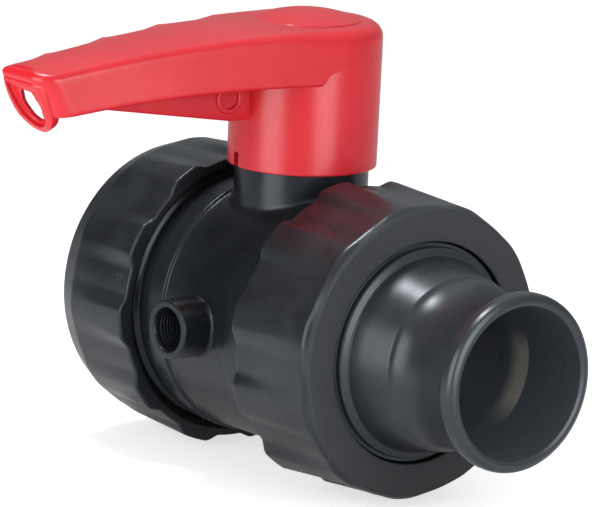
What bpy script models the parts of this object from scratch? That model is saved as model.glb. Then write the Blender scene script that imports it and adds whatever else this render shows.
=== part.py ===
"""Seacock valve: a plastic quarter-turn ball valve with a union nut and an end fitting at each side.

The flow runs along X, the stem stands along Z and the closed lever points to -Y. The origin is the centre of
the inlet mouth, and every piece hangs on an empty at the centre of the ball. Sizes are in metres.
"""

import math

import bmesh
import bpy
from mathutils import Matrix, Vector

MM = 0.001

# Clearances
TOUCH = 0.3 * MM            # between pieces that rest on each other
SEAL_ROOM = 0.15 * MM       # around an O-ring in its groove
COLLAR_ROOM = 2.0 * MM      # around a fitting's collar in its nut
CAVITY_ROOM = 0.8 * MM      # around the ball in the body
OVERLAP = 1.0 * MM          # how far a cut or a joined shape runs past the face it meets

# Flow path, ball and seats
FLOW_RADIUS = 25.0 * MM
BALL_WALL = 12.5 * MM
SEAT_BORE_STEP = 0.8 * MM
SEAT_BAND = 3.4 * MM
SEAT_LIP = 3.4 * MM
SEAT_DEPTH = 3.6 * MM
SEAL_DIAMETER = 2.4 * MM
SLOT_WIDTH = 8.0 * MM
SLOT_DEPTH = 6.0 * MM

# Body
BODY_HALF_LENGTH = 58.0 * MM
BARREL_WALL = 7.7 * MM
BARREL_HALF_LENGTH = 17.5 * MM
RING_INNER = 18.2 * MM
RING_OUTER = 26.4 * MM
RING_STEP = 1.0 * MM
RING_FILLET = 0.5 * MM
THREAD_STEP = 1.0 * MM
THREAD_CHAMFER = 1.2 * MM
THREAD_RELIEF = 2.2 * MM
THREAD_START = 31.0 * MM
CARRIER_STEP = 2.2 * MM
CARRIER_SHANK = 2.8 * MM
KEY_SLOT_WIDTH = 7.0 * MM
KEY_SLOT_DEPTH = 4.0 * MM
KEY_SLOT_REACH = 4.0 * MM
NECK_RADIUS = 24.0 * MM
NECK_RISE = 12.0 * MM
NECK_FILLET = 0.8 * MM
NECK_FLARE = 4.5 * MM
NECK_FLARE_ACROSS = 1.6 * MM
PORT_RADIUS = 7.5 * MM
PORT_WALL = 3.2 * MM
PORT_RISE = 11.7 * MM
PORT_DEPTH = 13.0 * MM
PORT_CHAMFER = 0.6 * MM

# Stem
STEM_RADIUS = 11.0 * MM
STEM_FLANGE_STEP = 3.5 * MM
STEM_FLANGE_THICKNESS = 3.0 * MM
WASHER_THICKNESS = 1.4 * MM
TANG_LENGTH = 18.0 * MM
DRIVE_RADIUS = 9.6 * MM
DRIVE_FLAT = 14.0 * MM
DRIVE_LENGTH = 22.0 * MM
STEM_CHAMFER = 1.0 * MM
SEAL_PITCH = 5.2 * MM

# Union nuts
NUT_INNER_END = 32.0 * MM
NUT_LIP = 7.0 * MM
NUT_WALL = 7.5 * MM
NUT_TAPER = 2.0 * MM
NUT_LOBES = 11
LOBE_DEPTH = 2.6 * MM
LOBE_DEPTH_AT_RIM = 1.7 * MM
LOBE_SHARE = 0.46
FLANK_SHARE = 0.07
NUT_MOUTH = 2.2 * MM
NUT_EDGE = 1.0 * MM
LIP_CHAMFER = 0.6 * MM
NUT_CHAMFER_LENGTH = 2.6 * MM
NUT_CHAMFER_STEP = 2.0 * MM
INLET_LIP = 9.0 * MM
INLET_CHAMFER_LENGTH = 9.6 * MM
INLET_CHAMFER_STEP = 3.6 * MM
OUTLET_NUT_TURN = math.radians(77.4)
INLET_NUT_TURN = math.radians(62.7)

# End fittings
FLANGE_STEP = 1.0 * MM
FLANGE_THICKNESS = 6.4 * MM
FLANGE_FILLET = 0.8 * MM
COLLAR_RADIUS = 37.6 * MM
INLET_REACH = 6.0 * MM
INLET_THREAD_RADIUS = 28.4 * MM
INLET_THREAD_DEPTH = 17.5 * MM
PIPE_RADIUS = 31.5 * MM
SPIGOT_REACH = 52.7 * MM
COLLAR_PROUD = 0.6 * MM
COLLAR_TAPER = 2.4 * MM
COLLAR_FILLET = 0.6 * MM
INLET_FILLET = 1.2 * MM
CONE_RADIUS = 34.6 * MM
SHOULDER_RADIUS = 30.6 * MM
SHOULDER_FROM_END = 34.0 * MM
WAIST_RADIUS = 28.3 * MM
RIM_LENGTH = 4.6 * MM
RIM_FILLET = 0.6 * MM
MOUTH_CHAMFER = 1.7 * MM
PIPE_BORE = 27.0 * MM
PIPE_BORE_TAPER = 1.2 * MM
PIPE_BORE_DEPTH = 26.4 * MM
PIPE_BORE_CONE = 8.5 * MM
PIPE_CHAMFER = 0.4 * MM

# Handle
SKIRT_WALL = 2.4 * MM
HUB_DRAFT = 0.4 * MM
HUB_HEIGHT = 52.0 * MM
HUB_FILLET = 5.5 * MM
CAP_STEP = 0.25 * MM
PAD_RADIUS = 19.0 * MM
PAD_RISE = 0.3 * MM
PAD_DOME = 3.5 * MM
SKIRT_OVERLAP = 3.0 * MM
HUB_ROOF = 5.0 * MM
SKIRT_CHAMFER = 0.8 * MM
SOCKET_WALL = 3.6 * MM
SOCKET_LIFT = 2.0 * MM
LEVER_REACH = 125.0 * MM
LEVER_TIP_HALF_WIDTH = 13.0 * MM
LEVER_TIP_ROUND = 3.6 * MM
LEVER_DROP = 11.0 * MM
LEVER_SIDE_AT_HUB = 20.0 * MM
LEVER_SIDE_AT_TIP = 14.0 * MM
LEVER_CROWN = 2.6 * MM
CROWN_FADE_START = 55.0 * MM
CROWN_FADE_LENGTH = 55.0 * MM
CURL_RISE = 3.5 * MM
CURL_START = 12.5 * MM
CURL_LENGTH = 3.5 * MM
FAR_RISE = 6.5 * MM
FAR_RISE_START = 92.0 * MM
FAR_RISE_LENGTH = 22.0 * MM
LEVER_EDGE = 3.0 * MM
LEVER_WALL = 2.8 * MM
EDGE_GROWTH = 38.0 * MM
GRIP_PITCH = 26.2 * MM
GRIP_DEPTH = 0.9 * MM
WEB_THICKNESS = 5.0 * MM
WEB_DROP = 14.7 * MM
WEB_FLAT = 9.0 * MM
WEB_SETBACK = 20.0 * MM
WEB_RING_PLACE = 9.2 * MM
WEB_RING_DROP = 6.3 * MM
WEB_RING_RADIUS = 5.7 * MM
WEB_RING_WIDTH = 2.0 * MM
WEB_RING_PROUD = 1.0 * MM
EYE_LENGTH = 21.0 * MM
EYE_LEAN = math.radians(28)
EYE_THICKNESS = 4.6 * MM
EYE_RECESS = 2.0 * MM
EYE_RIM = 2.2 * MM
EYE_INSET = 0.4 * MM
EYE_SIDE_INSET = 2.0 * MM
EYE_ROUND_SHARE = 0.9
EYE_SLOT_WIDTH = 9.6 * MM
EYE_SLOT_HEIGHT = 13.4 * MM
EYE_SLOT_FLOOR = 3.2 * MM
NOTCH_WIDTH = 2.4 * MM
NOTCH_HEIGHT = 5.0 * MM
NOTCH_TURN = math.radians(-10)
STOP_HEIGHT = 4.0 * MM
STOP_WIDTH = 6.0 * MM
STOP_INSET = 1.0 * MM
STOP_RIB_HEIGHT = 12.0 * MM
STOP_ANGLE = math.radians(16)
STOP_ROOM = math.radians(1.2)
STOP_REST = math.radians(135)
HANDLE_TURN = math.radians(90)

# Sizes that follow from the ones above
BALL_RADIUS = FLOW_RADIUS + BALL_WALL
CAVITY_RADIUS = BALL_RADIUS + CAVITY_ROOM
BARREL_RADIUS = CAVITY_RADIUS + BARREL_WALL
THREAD_RADIUS = BARREL_RADIUS + THREAD_STEP
CARRIER_RADIUS = CAVITY_RADIUS + CARRIER_STEP
SEAT_SPHERE = BALL_RADIUS + TOUCH
SEAT_BORE = FLOW_RADIUS + SEAT_BORE_STEP
SEAT_CONTACT = SEAT_BORE + SEAT_BAND
SEAT_RADIUS = SEAT_CONTACT + SEAT_LIP
SEAT_THROAT = math.sqrt(SEAT_SPHERE ** 2 - SEAT_BORE ** 2)
SEAT_FRONT = math.sqrt(SEAT_SPHERE ** 2 - SEAT_CONTACT ** 2)
SEAT_BACK = SEAT_THROAT + SEAT_DEPTH
SEAL_GROOVE = SEAL_DIAMETER + 2 * SEAL_ROOM
NUT_BORE = THREAD_RADIUS + TOUCH
NUT_RADIUS = NUT_BORE + NUT_WALL
FLANGE_BACK = BODY_HALF_LENGTH + TOUCH
FLANGE_FRONT = FLANGE_BACK + FLANGE_THICKNESS
NUT_FACE = FLANGE_FRONT + TOUCH + NUT_LIP
INLET_NUT_FACE = FLANGE_FRONT + TOUCH + INLET_LIP
FLANGE_RADIUS = THREAD_RADIUS - FLANGE_STEP
INLET_MOUTH = INLET_NUT_FACE + INLET_REACH
OUTLET_MOUTH = NUT_FACE + SPIGOT_REACH
STEM_FLANGE_BOTTOM = BALL_RADIUS + CAVITY_ROOM
WASHER_BOTTOM = STEM_FLANGE_BOTTOM + STEM_FLANGE_THICKNESS + TOUCH
RECESS_TOP = WASHER_BOTTOM + WASHER_THICKNESS + TOUCH
NECK_TOP = BARREL_RADIUS + NECK_RISE
SKIRT_BOTTOM = NECK_TOP - SKIRT_OVERLAP
HUB_TOP = SKIRT_BOTTOM + HUB_HEIGHT
DRIVE_TOP = NECK_TOP + DRIVE_LENGTH
STOP_RADIUS = NECK_RADIUS - STOP_INSET
SOCKET_RADIUS = DRIVE_RADIUS + SOCKET_WALL
STOP_INNER = max(STOP_RADIUS - STOP_WIDTH, SOCKET_RADIUS + TOUCH)
HUB_RADIUS = NECK_RADIUS + TOUCH + SKIRT_WALL
LEVER_HUB_RADIUS = HUB_RADIUS + HUB_DRAFT
SEAT_SEAL_RADIUS = (SEAT_BORE + SEAT_RADIUS) / 2
FACE_SEAL_RADIUS = (FLOW_RADIUS + CARRIER_RADIUS) / 2
CARRIER_SEAL_PLACE = (SEAT_BACK + BODY_HALF_LENGTH) / 2
SEAL_HEIGHTS = (RECESS_TOP + SEAL_GROOVE, RECESS_TOP + SEAL_GROOVE + SEAL_PITCH)

ROUND_STEPS = 32
SMALL_STEPS = 24
SEAL_SIDES = 6

COLOURS = {
    "black_plastic": ((0.022, 0.023, 0.026), 0.38, 0.0),
    "black_nut_plastic": ((0.030, 0.029, 0.029), 0.48, 0.0),
    "red_plastic": ((0.66, 0.022, 0.030), 0.35, 0.0),
    "grey_ball": ((0.42, 0.41, 0.39), 0.25, 0.0),
    "white_seat": ((0.80, 0.80, 0.77), 0.45, 0.0),
    "seal_rubber": ((0.018, 0.018, 0.018), 0.65, 0.0),
}


def clear_scene():
    for old in list(bpy.data.objects):
        bpy.data.objects.remove(old, do_unlink=True)


def make_material(name):
    colour, roughness, metallic = COLOURS[name]
    made = bpy.data.materials.new(name)
    made.use_nodes = True
    shader = made.node_tree.nodes["Principled BSDF"]
    shader.inputs["Base Color"].default_value = (*colour, 1.0)
    shader.inputs["Roughness"].default_value = roughness
    shader.inputs["Metallic"].default_value = metallic
    return made


def finish(bm, name, material=None, smooth_angle=35):
    """Closes a mesh, turns its faces outwards and puts it in the scene as an object."""
    bmesh.ops.remove_doubles(bm, verts=bm.verts, dist=1e-7)
    bmesh.ops.recalc_face_normals(bm, faces=bm.faces)
    mesh = bpy.data.meshes.new(name)
    bm.to_mesh(mesh)
    bm.free()
    mesh.shade_smooth()
    mesh.set_sharp_from_angle(angle=math.radians(smooth_angle))
    made = bpy.data.objects.new(name, mesh)
    bpy.context.collection.objects.link(made)
    if material:
        mesh.materials.append(material)
    return made


def rounded(corners, steps=1):
    """Outline through corners (along, out, fillet radius), with an arc at each corner that has a fillet."""
    outline = []
    for index, (along, out, radius) in enumerate(corners):
        here = Vector((along, out))
        if not radius:
            outline.append(here)
            continue
        to_last = (Vector(corners[index - 1][:2]) - here).normalized()
        to_next = (Vector(corners[(index + 1) % len(corners)][:2]) - here).normalized()
        half = to_last.angle(to_next) / 2
        centre = here + (to_last + to_next).normalized() * (radius / math.sin(half))
        start = here + to_last * (radius / math.tan(half)) - centre
        end = here + to_next * (radius / math.tan(half)) - centre
        sweep = start.angle_signed(end)
        for step in range(steps + 1):
            turn = Matrix.Rotation(-sweep * step / steps, 2)
            outline.append(centre + turn @ start)
    return outline


def arc(radius, start, end, steps):
    """Points (along, out) on an arc about the origin, angles measured from the axis."""
    angles = [start + (end - start) * step / steps for step in range(steps + 1)]
    return [(radius * math.cos(a), radius * math.sin(a)) for a in angles]


def turned(name, outline, material=None, steps=ROUND_STEPS, upright=False):
    """Turns a closed outline of (along, out) points about the X axis, or about Z where upright."""
    bm = bmesh.new()
    verts = [bm.verts.new((out, 0, along) if upright else (along, 0, out)) for along, out in outline]
    edges = [bm.edges.new((verts[i - 1], verts[i])) for i in range(len(verts))]
    axis = (0, 0, 1) if upright else (1, 0, 0)
    bmesh.ops.spin(bm, geom=verts + edges, axis=axis, cent=(0, 0, 0), angle=math.tau, steps=steps,
                   use_merge=True)
    return finish(bm, name, material)


def prism(name, outline, low, high, axis="Z", material=None):
    """Extrudes an outline of (u, v) points from low to high along X, Y or Z."""
    places = {"X": lambda u, v, h: (h, u, v), "Y": lambda u, v, h: (u, h, v), "Z": lambda u, v, h: (u, v, h)}
    bm = bmesh.new()
    base = bm.faces.new([bm.verts.new(places[axis](u, v, low)) for u, v in outline])
    grown = bmesh.ops.extrude_face_region(bm, geom=[base])
    shift = Vector(places[axis](0, 0, high - low))
    bmesh.ops.translate(bm, verts=[v for v in grown["geom"] if isinstance(v, bmesh.types.BMVert)], vec=shift)
    return finish(bm, name, material)


def box(name, low, high):
    outline = [(low[0], low[1]), (high[0], low[1]), (high[0], high[1]), (low[0], high[1])]
    return prism(name, outline, low[2], high[2])


def loft(name, sections, material=None):
    """Skins a row of like sections, each a closed ring of points, and caps both ends."""
    bm = bmesh.new()
    rings = [[bm.verts.new(point) for point in section] for section in sections]
    for ring, after in zip(rings, rings[1:]):
        for i in range(len(ring)):
            bm.faces.new((ring[i - 1], ring[i], after[i], after[i - 1]))
    bm.faces.new(rings[0])
    bm.faces.new(reversed(rings[-1]))
    return finish(bm, name, material)


def sector(name, inner, outer, low, high, middle, width, steps=4):
    """A block between two radii and two heights, width radians wide about the angle middle."""
    angles = [middle - width / 2 + width * step / steps for step in range(steps + 1)]
    ring = [(outer * math.cos(a), outer * math.sin(a)) for a in angles]
    ring += [(inner * math.cos(a), inner * math.sin(a)) for a in reversed(angles)]
    return prism(name, ring, low, high)


def combine(piece, tool, operation):
    """Joins a tool body to a piece or cuts it away; the tool stays as a hidden guide."""
    tool.hide_render = True
    tool.display_type = "WIRE"
    tool.parent = piece
    step = piece.modifiers.new(f"{operation.lower()} {tool.name}", "BOOLEAN")
    step.operation = operation
    step.object = tool


def slab_sided(radius, flat, steps=8):
    """A circle of the given radius with two flats, flat apart, facing +Y and -Y."""
    reach = math.asin(flat / 2 / radius)
    angles = [-reach + 2 * reach * step / steps for step in range(steps + 1)]
    half = [(radius * math.cos(a), radius * math.sin(a)) for a in angles]
    return half + [(-x, -y) for x, y in half]


def seal_ring(name, along, radius, material, upright=False):
    circle = [math.tau * side / SEAL_SIDES for side in range(SEAL_SIDES)]
    half = SEAL_DIAMETER / 2
    outline = [(along + half * math.cos(a), radius + half * math.sin(a)) for a in circle]
    return turned(name, outline, material, SMALL_STEPS, upright)


def tube(name, low, high, inner, outer, material=None, upright=False):
    outline = [(low, inner), (high, inner), (high, outer), (low, outer)]
    return turned(name, outline, material, SMALL_STEPS, upright)


def seat_pocket():
    """Outline of the pocket behind a seat, with its seal groove, from the flow bore to the pocket's mouth."""
    back = SEAT_BACK + TOUCH
    low = SEAT_SEAL_RADIUS - SEAL_GROOVE / 2
    high = SEAT_SEAL_RADIUS + SEAL_GROOVE / 2
    return [
        (back, FLOW_RADIUS),
        (back, low),
        (back + SEAL_GROOVE, low),
        (back + SEAL_GROOVE, high),
        (back, high),
        (back, SEAT_RADIUS + TOUCH),
        (SEAT_FRONT + TOUCH, SEAT_RADIUS + TOUCH),
    ]


def barrel_height(across):
    """Height of the barrel's round over the flow axis, at a distance across it."""
    return math.sqrt(BARREL_RADIUS ** 2 - across ** 2)


def make_neck_flare():
    """The fillet where the neck meets the barrel's round, wide along the flow and narrow across it."""
    shares = (0, 1 / 3, 2 / 3, 1)
    rings = [[] for _ in range(len(shares) + 2)]
    for step in range(ROUND_STEPS):
        angle = math.tau * step / ROUND_STEPS
        width = NECK_FLARE_ACROSS + (NECK_FLARE - NECK_FLARE_ACROSS) * math.cos(angle) ** 2
        foot = NECK_RADIUS + width
        low = barrel_height(NECK_RADIUS * math.sin(angle))
        foot_point = Vector((foot, barrel_height(foot * math.sin(angle)) - TOUCH))
        corner = Vector((NECK_RADIUS, low))
        upper = Vector((NECK_RADIUS - TOUCH, low + width))
        curve = [foot_point * (1 - t) ** 2 + corner * (2 * t * (1 - t)) + upper * t ** 2 for t in shares]
        below = (NECK_RADIUS / 2, BARREL_RADIUS / 2)
        above = (NECK_RADIUS / 2, NECK_TOP - NECK_RISE / 2)
        for ring, (out, up) in zip(rings, [below, *curve, above]):
            ring.append((out * math.cos(angle), out * math.sin(angle), up))
    return loft("neck_flare", rings)


def make_body(material):
    half = [
        (BODY_HALF_LENGTH, 0, 0),
        (BODY_HALF_LENGTH, THREAD_RADIUS - THREAD_CHAMFER, 0),
        (BODY_HALF_LENGTH - THREAD_CHAMFER, THREAD_RADIUS, 0),
        (THREAD_START, THREAD_RADIUS, 0),
        (THREAD_START, THREAD_RADIUS - THREAD_RELIEF, 0),
        (RING_OUTER, THREAD_RADIUS - THREAD_RELIEF, 0),
        (RING_OUTER, BARREL_RADIUS + RING_STEP, RING_FILLET),
        (RING_INNER, BARREL_RADIUS + RING_STEP, RING_FILLET),
        (BARREL_HALF_LENGTH, BARREL_RADIUS, 0),
    ]
    mirrored = [(-along, out, fillet) for along, out, fillet in reversed(half)]
    body = turned("valve_body", rounded(half + mirrored), material)

    neck = [
        (0, 0, 0),
        (NECK_TOP, 0, 0),
        (NECK_TOP, NECK_RADIUS, NECK_FILLET),
        (0, NECK_RADIUS, 0),
    ]
    combine(body, turned("neck", rounded(neck), None, ROUND_STEPS, True), "UNION")
    combine(body, make_neck_flare(), "UNION")

    port_face = BARREL_RADIUS + PORT_RISE
    port_radius = PORT_RADIUS + PORT_WALL
    boss = turned("port_boss", rounded([
        (0, 0, 0),
        (port_face, 0, 0),
        (port_face, port_radius, PORT_CHAMFER),
        (0, port_radius, 0),
    ]), None, SMALL_STEPS)
    boss.rotation_euler.z = math.radians(-90)
    combine(body, boss, "UNION")

    for side, middle in (("closed", -1), ("open", 1)):
        turn = middle * (STOP_ANGLE + STOP_ROOM) + (HANDLE_TURN if side == "open" else 0)
        stop = sector(f"{side}_stop", STOP_INNER, STOP_RADIUS,
                      NECK_TOP - OVERLAP, NECK_TOP + STOP_HEIGHT, STOP_REST + turn, STOP_ANGLE)
        combine(body, stop, "UNION")

    carrier_front = SEAT_FRONT + TOUCH
    cavity = turned("ball_cavity", [
        (-BODY_HALF_LENGTH - OVERLAP, 0),
        (-BODY_HALF_LENGTH - OVERLAP, FLOW_RADIUS),
        *[(-along, out) for along, out in seat_pocket()],
        (-carrier_front, CAVITY_RADIUS),
        (carrier_front + CARRIER_SHANK, CAVITY_RADIUS),
        (carrier_front + CARRIER_SHANK, CARRIER_RADIUS),
        (BODY_HALF_LENGTH + OVERLAP, CARRIER_RADIUS),
        (BODY_HALF_LENGTH + OVERLAP, 0),
    ], None, SMALL_STEPS)
    combine(body, cavity, "DIFFERENCE")

    stem_bore = turned("stem_bore", [
        (0, 0),
        (NECK_TOP + OVERLAP, 0),
        (NECK_TOP + OVERLAP, STEM_RADIUS + TOUCH),
        (RECESS_TOP, STEM_RADIUS + TOUCH),
        (RECESS_TOP, STEM_RADIUS + STEM_FLANGE_STEP + TOUCH),
        (0, STEM_RADIUS + STEM_FLANGE_STEP + TOUCH),
    ], None, SMALL_STEPS, True)
    combine(body, stem_bore, "DIFFERENCE")

    port_bore = turned("port_bore", [
        (port_face - PORT_DEPTH, 0),
        (port_face - PORT_DEPTH, PORT_RADIUS),
        (port_face - PORT_CHAMFER, PORT_RADIUS),
        (port_face + OVERLAP, PORT_RADIUS + PORT_CHAMFER + OVERLAP),
        (port_face + OVERLAP, 0),
    ], None, SMALL_STEPS)
    port_bore.rotation_euler.z = math.radians(-90)
    combine(body, port_bore, "DIFFERENCE")
    return body


def make_ball(material):
    """The ball is turned about its own bore; the drive slot crosses its top square to the bore."""
    edge = math.asin(FLOW_RADIUS / BALL_RADIUS)
    ball = turned("ball", arc(BALL_RADIUS, edge, math.pi - edge, 14), material)
    slot = box("drive_slot",
               (-SLOT_WIDTH / 2, -BALL_RADIUS, BALL_RADIUS - SLOT_DEPTH),
               (SLOT_WIDTH / 2, BALL_RADIUS, BALL_RADIUS + OVERLAP))
    combine(ball, slot, "DIFFERENCE")
    return ball


def make_stem(material):
    flange_radius = STEM_RADIUS + STEM_FLANGE_STEP
    root = STEM_RADIUS + TOUCH - SEAL_ROOM - SEAL_DIAMETER - SEAL_ROOM
    outline = [
        (STEM_FLANGE_BOTTOM, 0),
        (STEM_FLANGE_BOTTOM, flange_radius),
        (STEM_FLANGE_BOTTOM + STEM_FLANGE_THICKNESS, flange_radius),
        (STEM_FLANGE_BOTTOM + STEM_FLANGE_THICKNESS, STEM_RADIUS),
    ]
    for along in SEAL_HEIGHTS:
        low = along - SEAL_GROOVE / 2
        high = along + SEAL_GROOVE / 2
        outline += [(low, STEM_RADIUS), (low, root), (high, root), (high, STEM_RADIUS)]
    outline += [
        (NECK_TOP, STEM_RADIUS),
        (NECK_TOP + STEM_CHAMFER, STEM_RADIUS - STEM_CHAMFER),
        (NECK_TOP + STEM_CHAMFER, 0),
    ]
    stem = turned("stem", outline, material, SMALL_STEPS, True)
    drive = prism("stem_drive", slab_sided(DRIVE_RADIUS, DRIVE_FLAT), NECK_TOP, DRIVE_TOP)
    combine(stem, drive, "UNION")
    tang_half = SLOT_WIDTH / 2 - TOUCH
    tang = box("stem_tang",
               (-TANG_LENGTH / 2, -tang_half, BALL_RADIUS - SLOT_DEPTH + TOUCH),
               (TANG_LENGTH / 2, tang_half, STEM_FLANGE_BOTTOM + OVERLAP))
    combine(stem, tang, "UNION")
    return stem


def make_seat(name, material):
    """A seat ring whose inner edge follows the ball, for the outlet side."""
    inner = math.asin(SEAT_BORE / SEAT_SPHERE)
    outer = math.asin(SEAT_CONTACT / SEAT_SPHERE)
    outline = arc(SEAT_SPHERE, inner, outer, 3)
    outline += [(SEAT_FRONT, SEAT_RADIUS), (SEAT_BACK, SEAT_RADIUS), (SEAT_BACK, SEAT_BORE)]
    return turned(name, outline, material, SMALL_STEPS)


def make_carrier(material):
    """The screwed ring that holds the outlet seat against the ball."""
    front = SEAT_FRONT + TOUCH
    shoulder = front + CARRIER_SHANK + TOUCH
    back = BODY_HALF_LENGTH - TOUCH
    outer = CARRIER_RADIUS - TOUCH
    root = CARRIER_RADIUS - SEAL_ROOM - SEAL_DIAMETER - SEAL_ROOM
    low = CARRIER_SEAL_PLACE - SEAL_GROOVE / 2
    high = CARRIER_SEAL_PLACE + SEAL_GROOVE / 2
    carrier = turned("seat_carrier", [
        *seat_pocket(),
        (front, CAVITY_RADIUS - TOUCH),
        (shoulder, CAVITY_RADIUS - TOUCH),
        (shoulder, outer),
        (low, outer),
        (low, root),
        (high, root),
        (high, outer),
        (back, outer),
        (back, FLOW_RADIUS),
    ], material, SMALL_STEPS)
    reach = FLOW_RADIUS + KEY_SLOT_REACH
    slot = box("key_slot", (back - KEY_SLOT_DEPTH, -reach, -KEY_SLOT_WIDTH / 2),
               (back + OVERLAP, reach, KEY_SLOT_WIDTH / 2))
    combine(carrier, slot, "DIFFERENCE")
    return carrier


def lobe_angles():
    """Angles round a nut at the corners and middles of its lobes and hollows, and which lie in a hollow."""
    pitch = math.tau / NUT_LOBES
    crest = pitch * LOBE_SHARE / 2
    flank = pitch * FLANK_SHARE
    crests = [(offset, False) for offset in (-crest, 0, crest)]
    hollows = [(offset, True) for offset in (crest + flank, pitch / 2, pitch - crest - flank)]
    starts = [lobe * pitch for lobe in range(NUT_LOBES)]
    return [(start + offset, in_hollow) for start in starts for offset, in_hollow in crests + hollows]


def make_nut(name, material, end, lip, chamfer_length, chamfer_step):
    """A tapered ring whose outer wall has lobes; the hollows between them are shallower at the rim."""
    face = end - NUT_INNER_END
    rim = face - chamfer_length
    rim_radius = NUT_RADIUS - NUT_TAPER
    opening = COLLAR_RADIUS + COLLAR_ROOM
    sections = []
    for angle, in_hollow in lobe_angles():
        depth = LOBE_DEPTH if in_hollow else 0
        rim_depth = LOBE_DEPTH_AT_RIM if in_hollow else 0
        outline = [
            (0, NUT_BORE + NUT_MOUTH),
            (0, NUT_RADIUS - depth - NUT_EDGE),
            (NUT_EDGE, NUT_RADIUS - depth),
            (rim, rim_radius - rim_depth),
            (face, rim_radius - chamfer_step),
            (face, opening + LIP_CHAMFER),
            (face - LIP_CHAMFER, opening),
            (face - lip, opening),
            (face - lip, NUT_BORE),
            (NUT_MOUTH, NUT_BORE),
        ]
        sections.append([(along, -out * math.sin(angle), out * math.cos(angle)) for along, out in outline])
    bm = bmesh.new()
    rings = [[bm.verts.new(point) for point in section] for section in sections]
    for index, ring in enumerate(rings):
        before = rings[index - 1]
        for i in range(len(ring)):
            bm.faces.new((before[i - 1], before[i], ring[i], ring[i - 1]))
    return finish(bm, name, material, 30)


def fitting_back(bore):
    """Outline corners shared by both end fittings: the flange with its seal groove, from bore to collar."""
    seal_low = FACE_SEAL_RADIUS - SEAL_GROOVE / 2
    seal_high = FACE_SEAL_RADIUS + SEAL_GROOVE / 2
    return [
        (FLANGE_BACK, bore, 0),
        (FLANGE_BACK, seal_low, 0),
        (FLANGE_BACK + SEAL_GROOVE, seal_low, 0),
        (FLANGE_BACK + SEAL_GROOVE, seal_high, 0),
        (FLANGE_BACK, seal_high, 0),
        (FLANGE_BACK, FLANGE_RADIUS, 0),
        (FLANGE_FRONT, FLANGE_RADIUS, FLANGE_FILLET),
        (FLANGE_FRONT, COLLAR_RADIUS, 0),
    ]


def make_spigot(material):
    """The outlet: a collar in the nut, a cone, and a pipe end drawn in to a waist behind its rim."""
    shoulder = OUTLET_MOUTH - SHOULDER_FROM_END
    rim = OUTLET_MOUTH - RIM_LENGTH
    collar = NUT_FACE + COLLAR_PROUD
    waist = []
    steps = 7
    for step in range(1, steps):
        share = step / steps
        edge = SHOULDER_RADIUS + (PIPE_RADIUS - SHOULDER_RADIUS) * share
        middle = (SHOULDER_RADIUS + PIPE_RADIUS) / 2
        sag = (middle - WAIST_RADIUS) * math.sin(math.pi * share)
        waist.append((shoulder + (rim - shoulder) * share, edge - sag, 0))
    corners = fitting_back(FLOW_RADIUS) + [
        (collar, COLLAR_RADIUS, COLLAR_FILLET),
        (collar + COLLAR_TAPER, CONE_RADIUS, 0),
        (shoulder, SHOULDER_RADIUS, RIM_FILLET),
    ] + waist + [
        (rim, PIPE_RADIUS, RIM_FILLET),
        (OUTLET_MOUTH, PIPE_RADIUS, RIM_FILLET),
        (OUTLET_MOUTH, PIPE_BORE + PIPE_CHAMFER, 0),
        (OUTLET_MOUTH - PIPE_CHAMFER, PIPE_BORE, 0),
        (OUTLET_MOUTH - PIPE_BORE_DEPTH, PIPE_BORE - PIPE_BORE_TAPER, 0),
        (OUTLET_MOUTH - PIPE_BORE_DEPTH - PIPE_BORE_CONE, FLOW_RADIUS, 0),
    ]
    return turned("outlet_spigot", rounded(corners), material)


def make_inlet(material):
    """The inlet: a short collar with a threaded socket for the hull fitting, modelled towards +X."""
    socket = INLET_MOUTH - INLET_THREAD_DEPTH
    corners = fitting_back(FLOW_RADIUS) + [
        (INLET_MOUTH, COLLAR_RADIUS, INLET_FILLET),
        (INLET_MOUTH, INLET_THREAD_RADIUS + MOUTH_CHAMFER, 0),
        (INLET_MOUTH - MOUTH_CHAMFER, INLET_THREAD_RADIUS, 0),
        (socket, INLET_THREAD_RADIUS, 0),
        (socket, FLOW_RADIUS, 0),
    ]
    return turned("inlet_connector", rounded(corners), material)


def ease(share):
    """Rises from 0 to 1 with level ends."""
    share = min(max(share, 0.0), 1.0)
    return share ** 2 * (3 - 2 * share)


def lever_lean():
    """Angle between the lever's sides and its middle line, so that they leave the hub as tangents."""
    diagonal = math.hypot(LEVER_TIP_HALF_WIDTH, LEVER_REACH)
    return math.asin(LEVER_HUB_RADIUS / diagonal) - math.atan2(LEVER_TIP_HALF_WIDTH, LEVER_REACH)


def lever_tangent():
    """Distance in front of the stem where the lever's straight sides touch the hub's circle."""
    return LEVER_HUB_RADIUS * math.sin(lever_lean())


def lever_half_width(reach):
    """Half the lever's width at a distance reach in front of the stem, along its straight sides."""
    lean = lever_lean()
    return (LEVER_HUB_RADIUS - reach * math.sin(lean)) / math.cos(lean)


def lever_top(reach):
    return HUB_TOP - LEVER_DROP * (max(reach, 0) / LEVER_REACH) ** 2


def lever_side(reach):
    share = max(reach, 0) / LEVER_REACH
    return LEVER_SIDE_AT_HUB + (LEVER_SIDE_AT_TIP - LEVER_SIDE_AT_HUB) * share


def lever_low(reach):
    """Height of the lever's lower edge, which curls up where it meets the hub."""
    return lever_top(reach) - lever_side(reach) + CURL_RISE * ease((CURL_START - reach) / CURL_LENGTH)


def lever_crown(reach):
    """How much the middle of the top stands over its edges; it fades towards the hub, whose top is flat."""
    return LEVER_CROWN * (1 - ease((CROWN_FADE_START - reach) / CROWN_FADE_LENGTH))


def far_rise(x, reach):
    """How much higher the far wall's lower edge runs than the near wall's, beside the eye."""
    if x > 0:
        return 0.0
    return FAR_RISE * ease((reach - FAR_RISE_START) / FAR_RISE_LENGTH)


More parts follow.
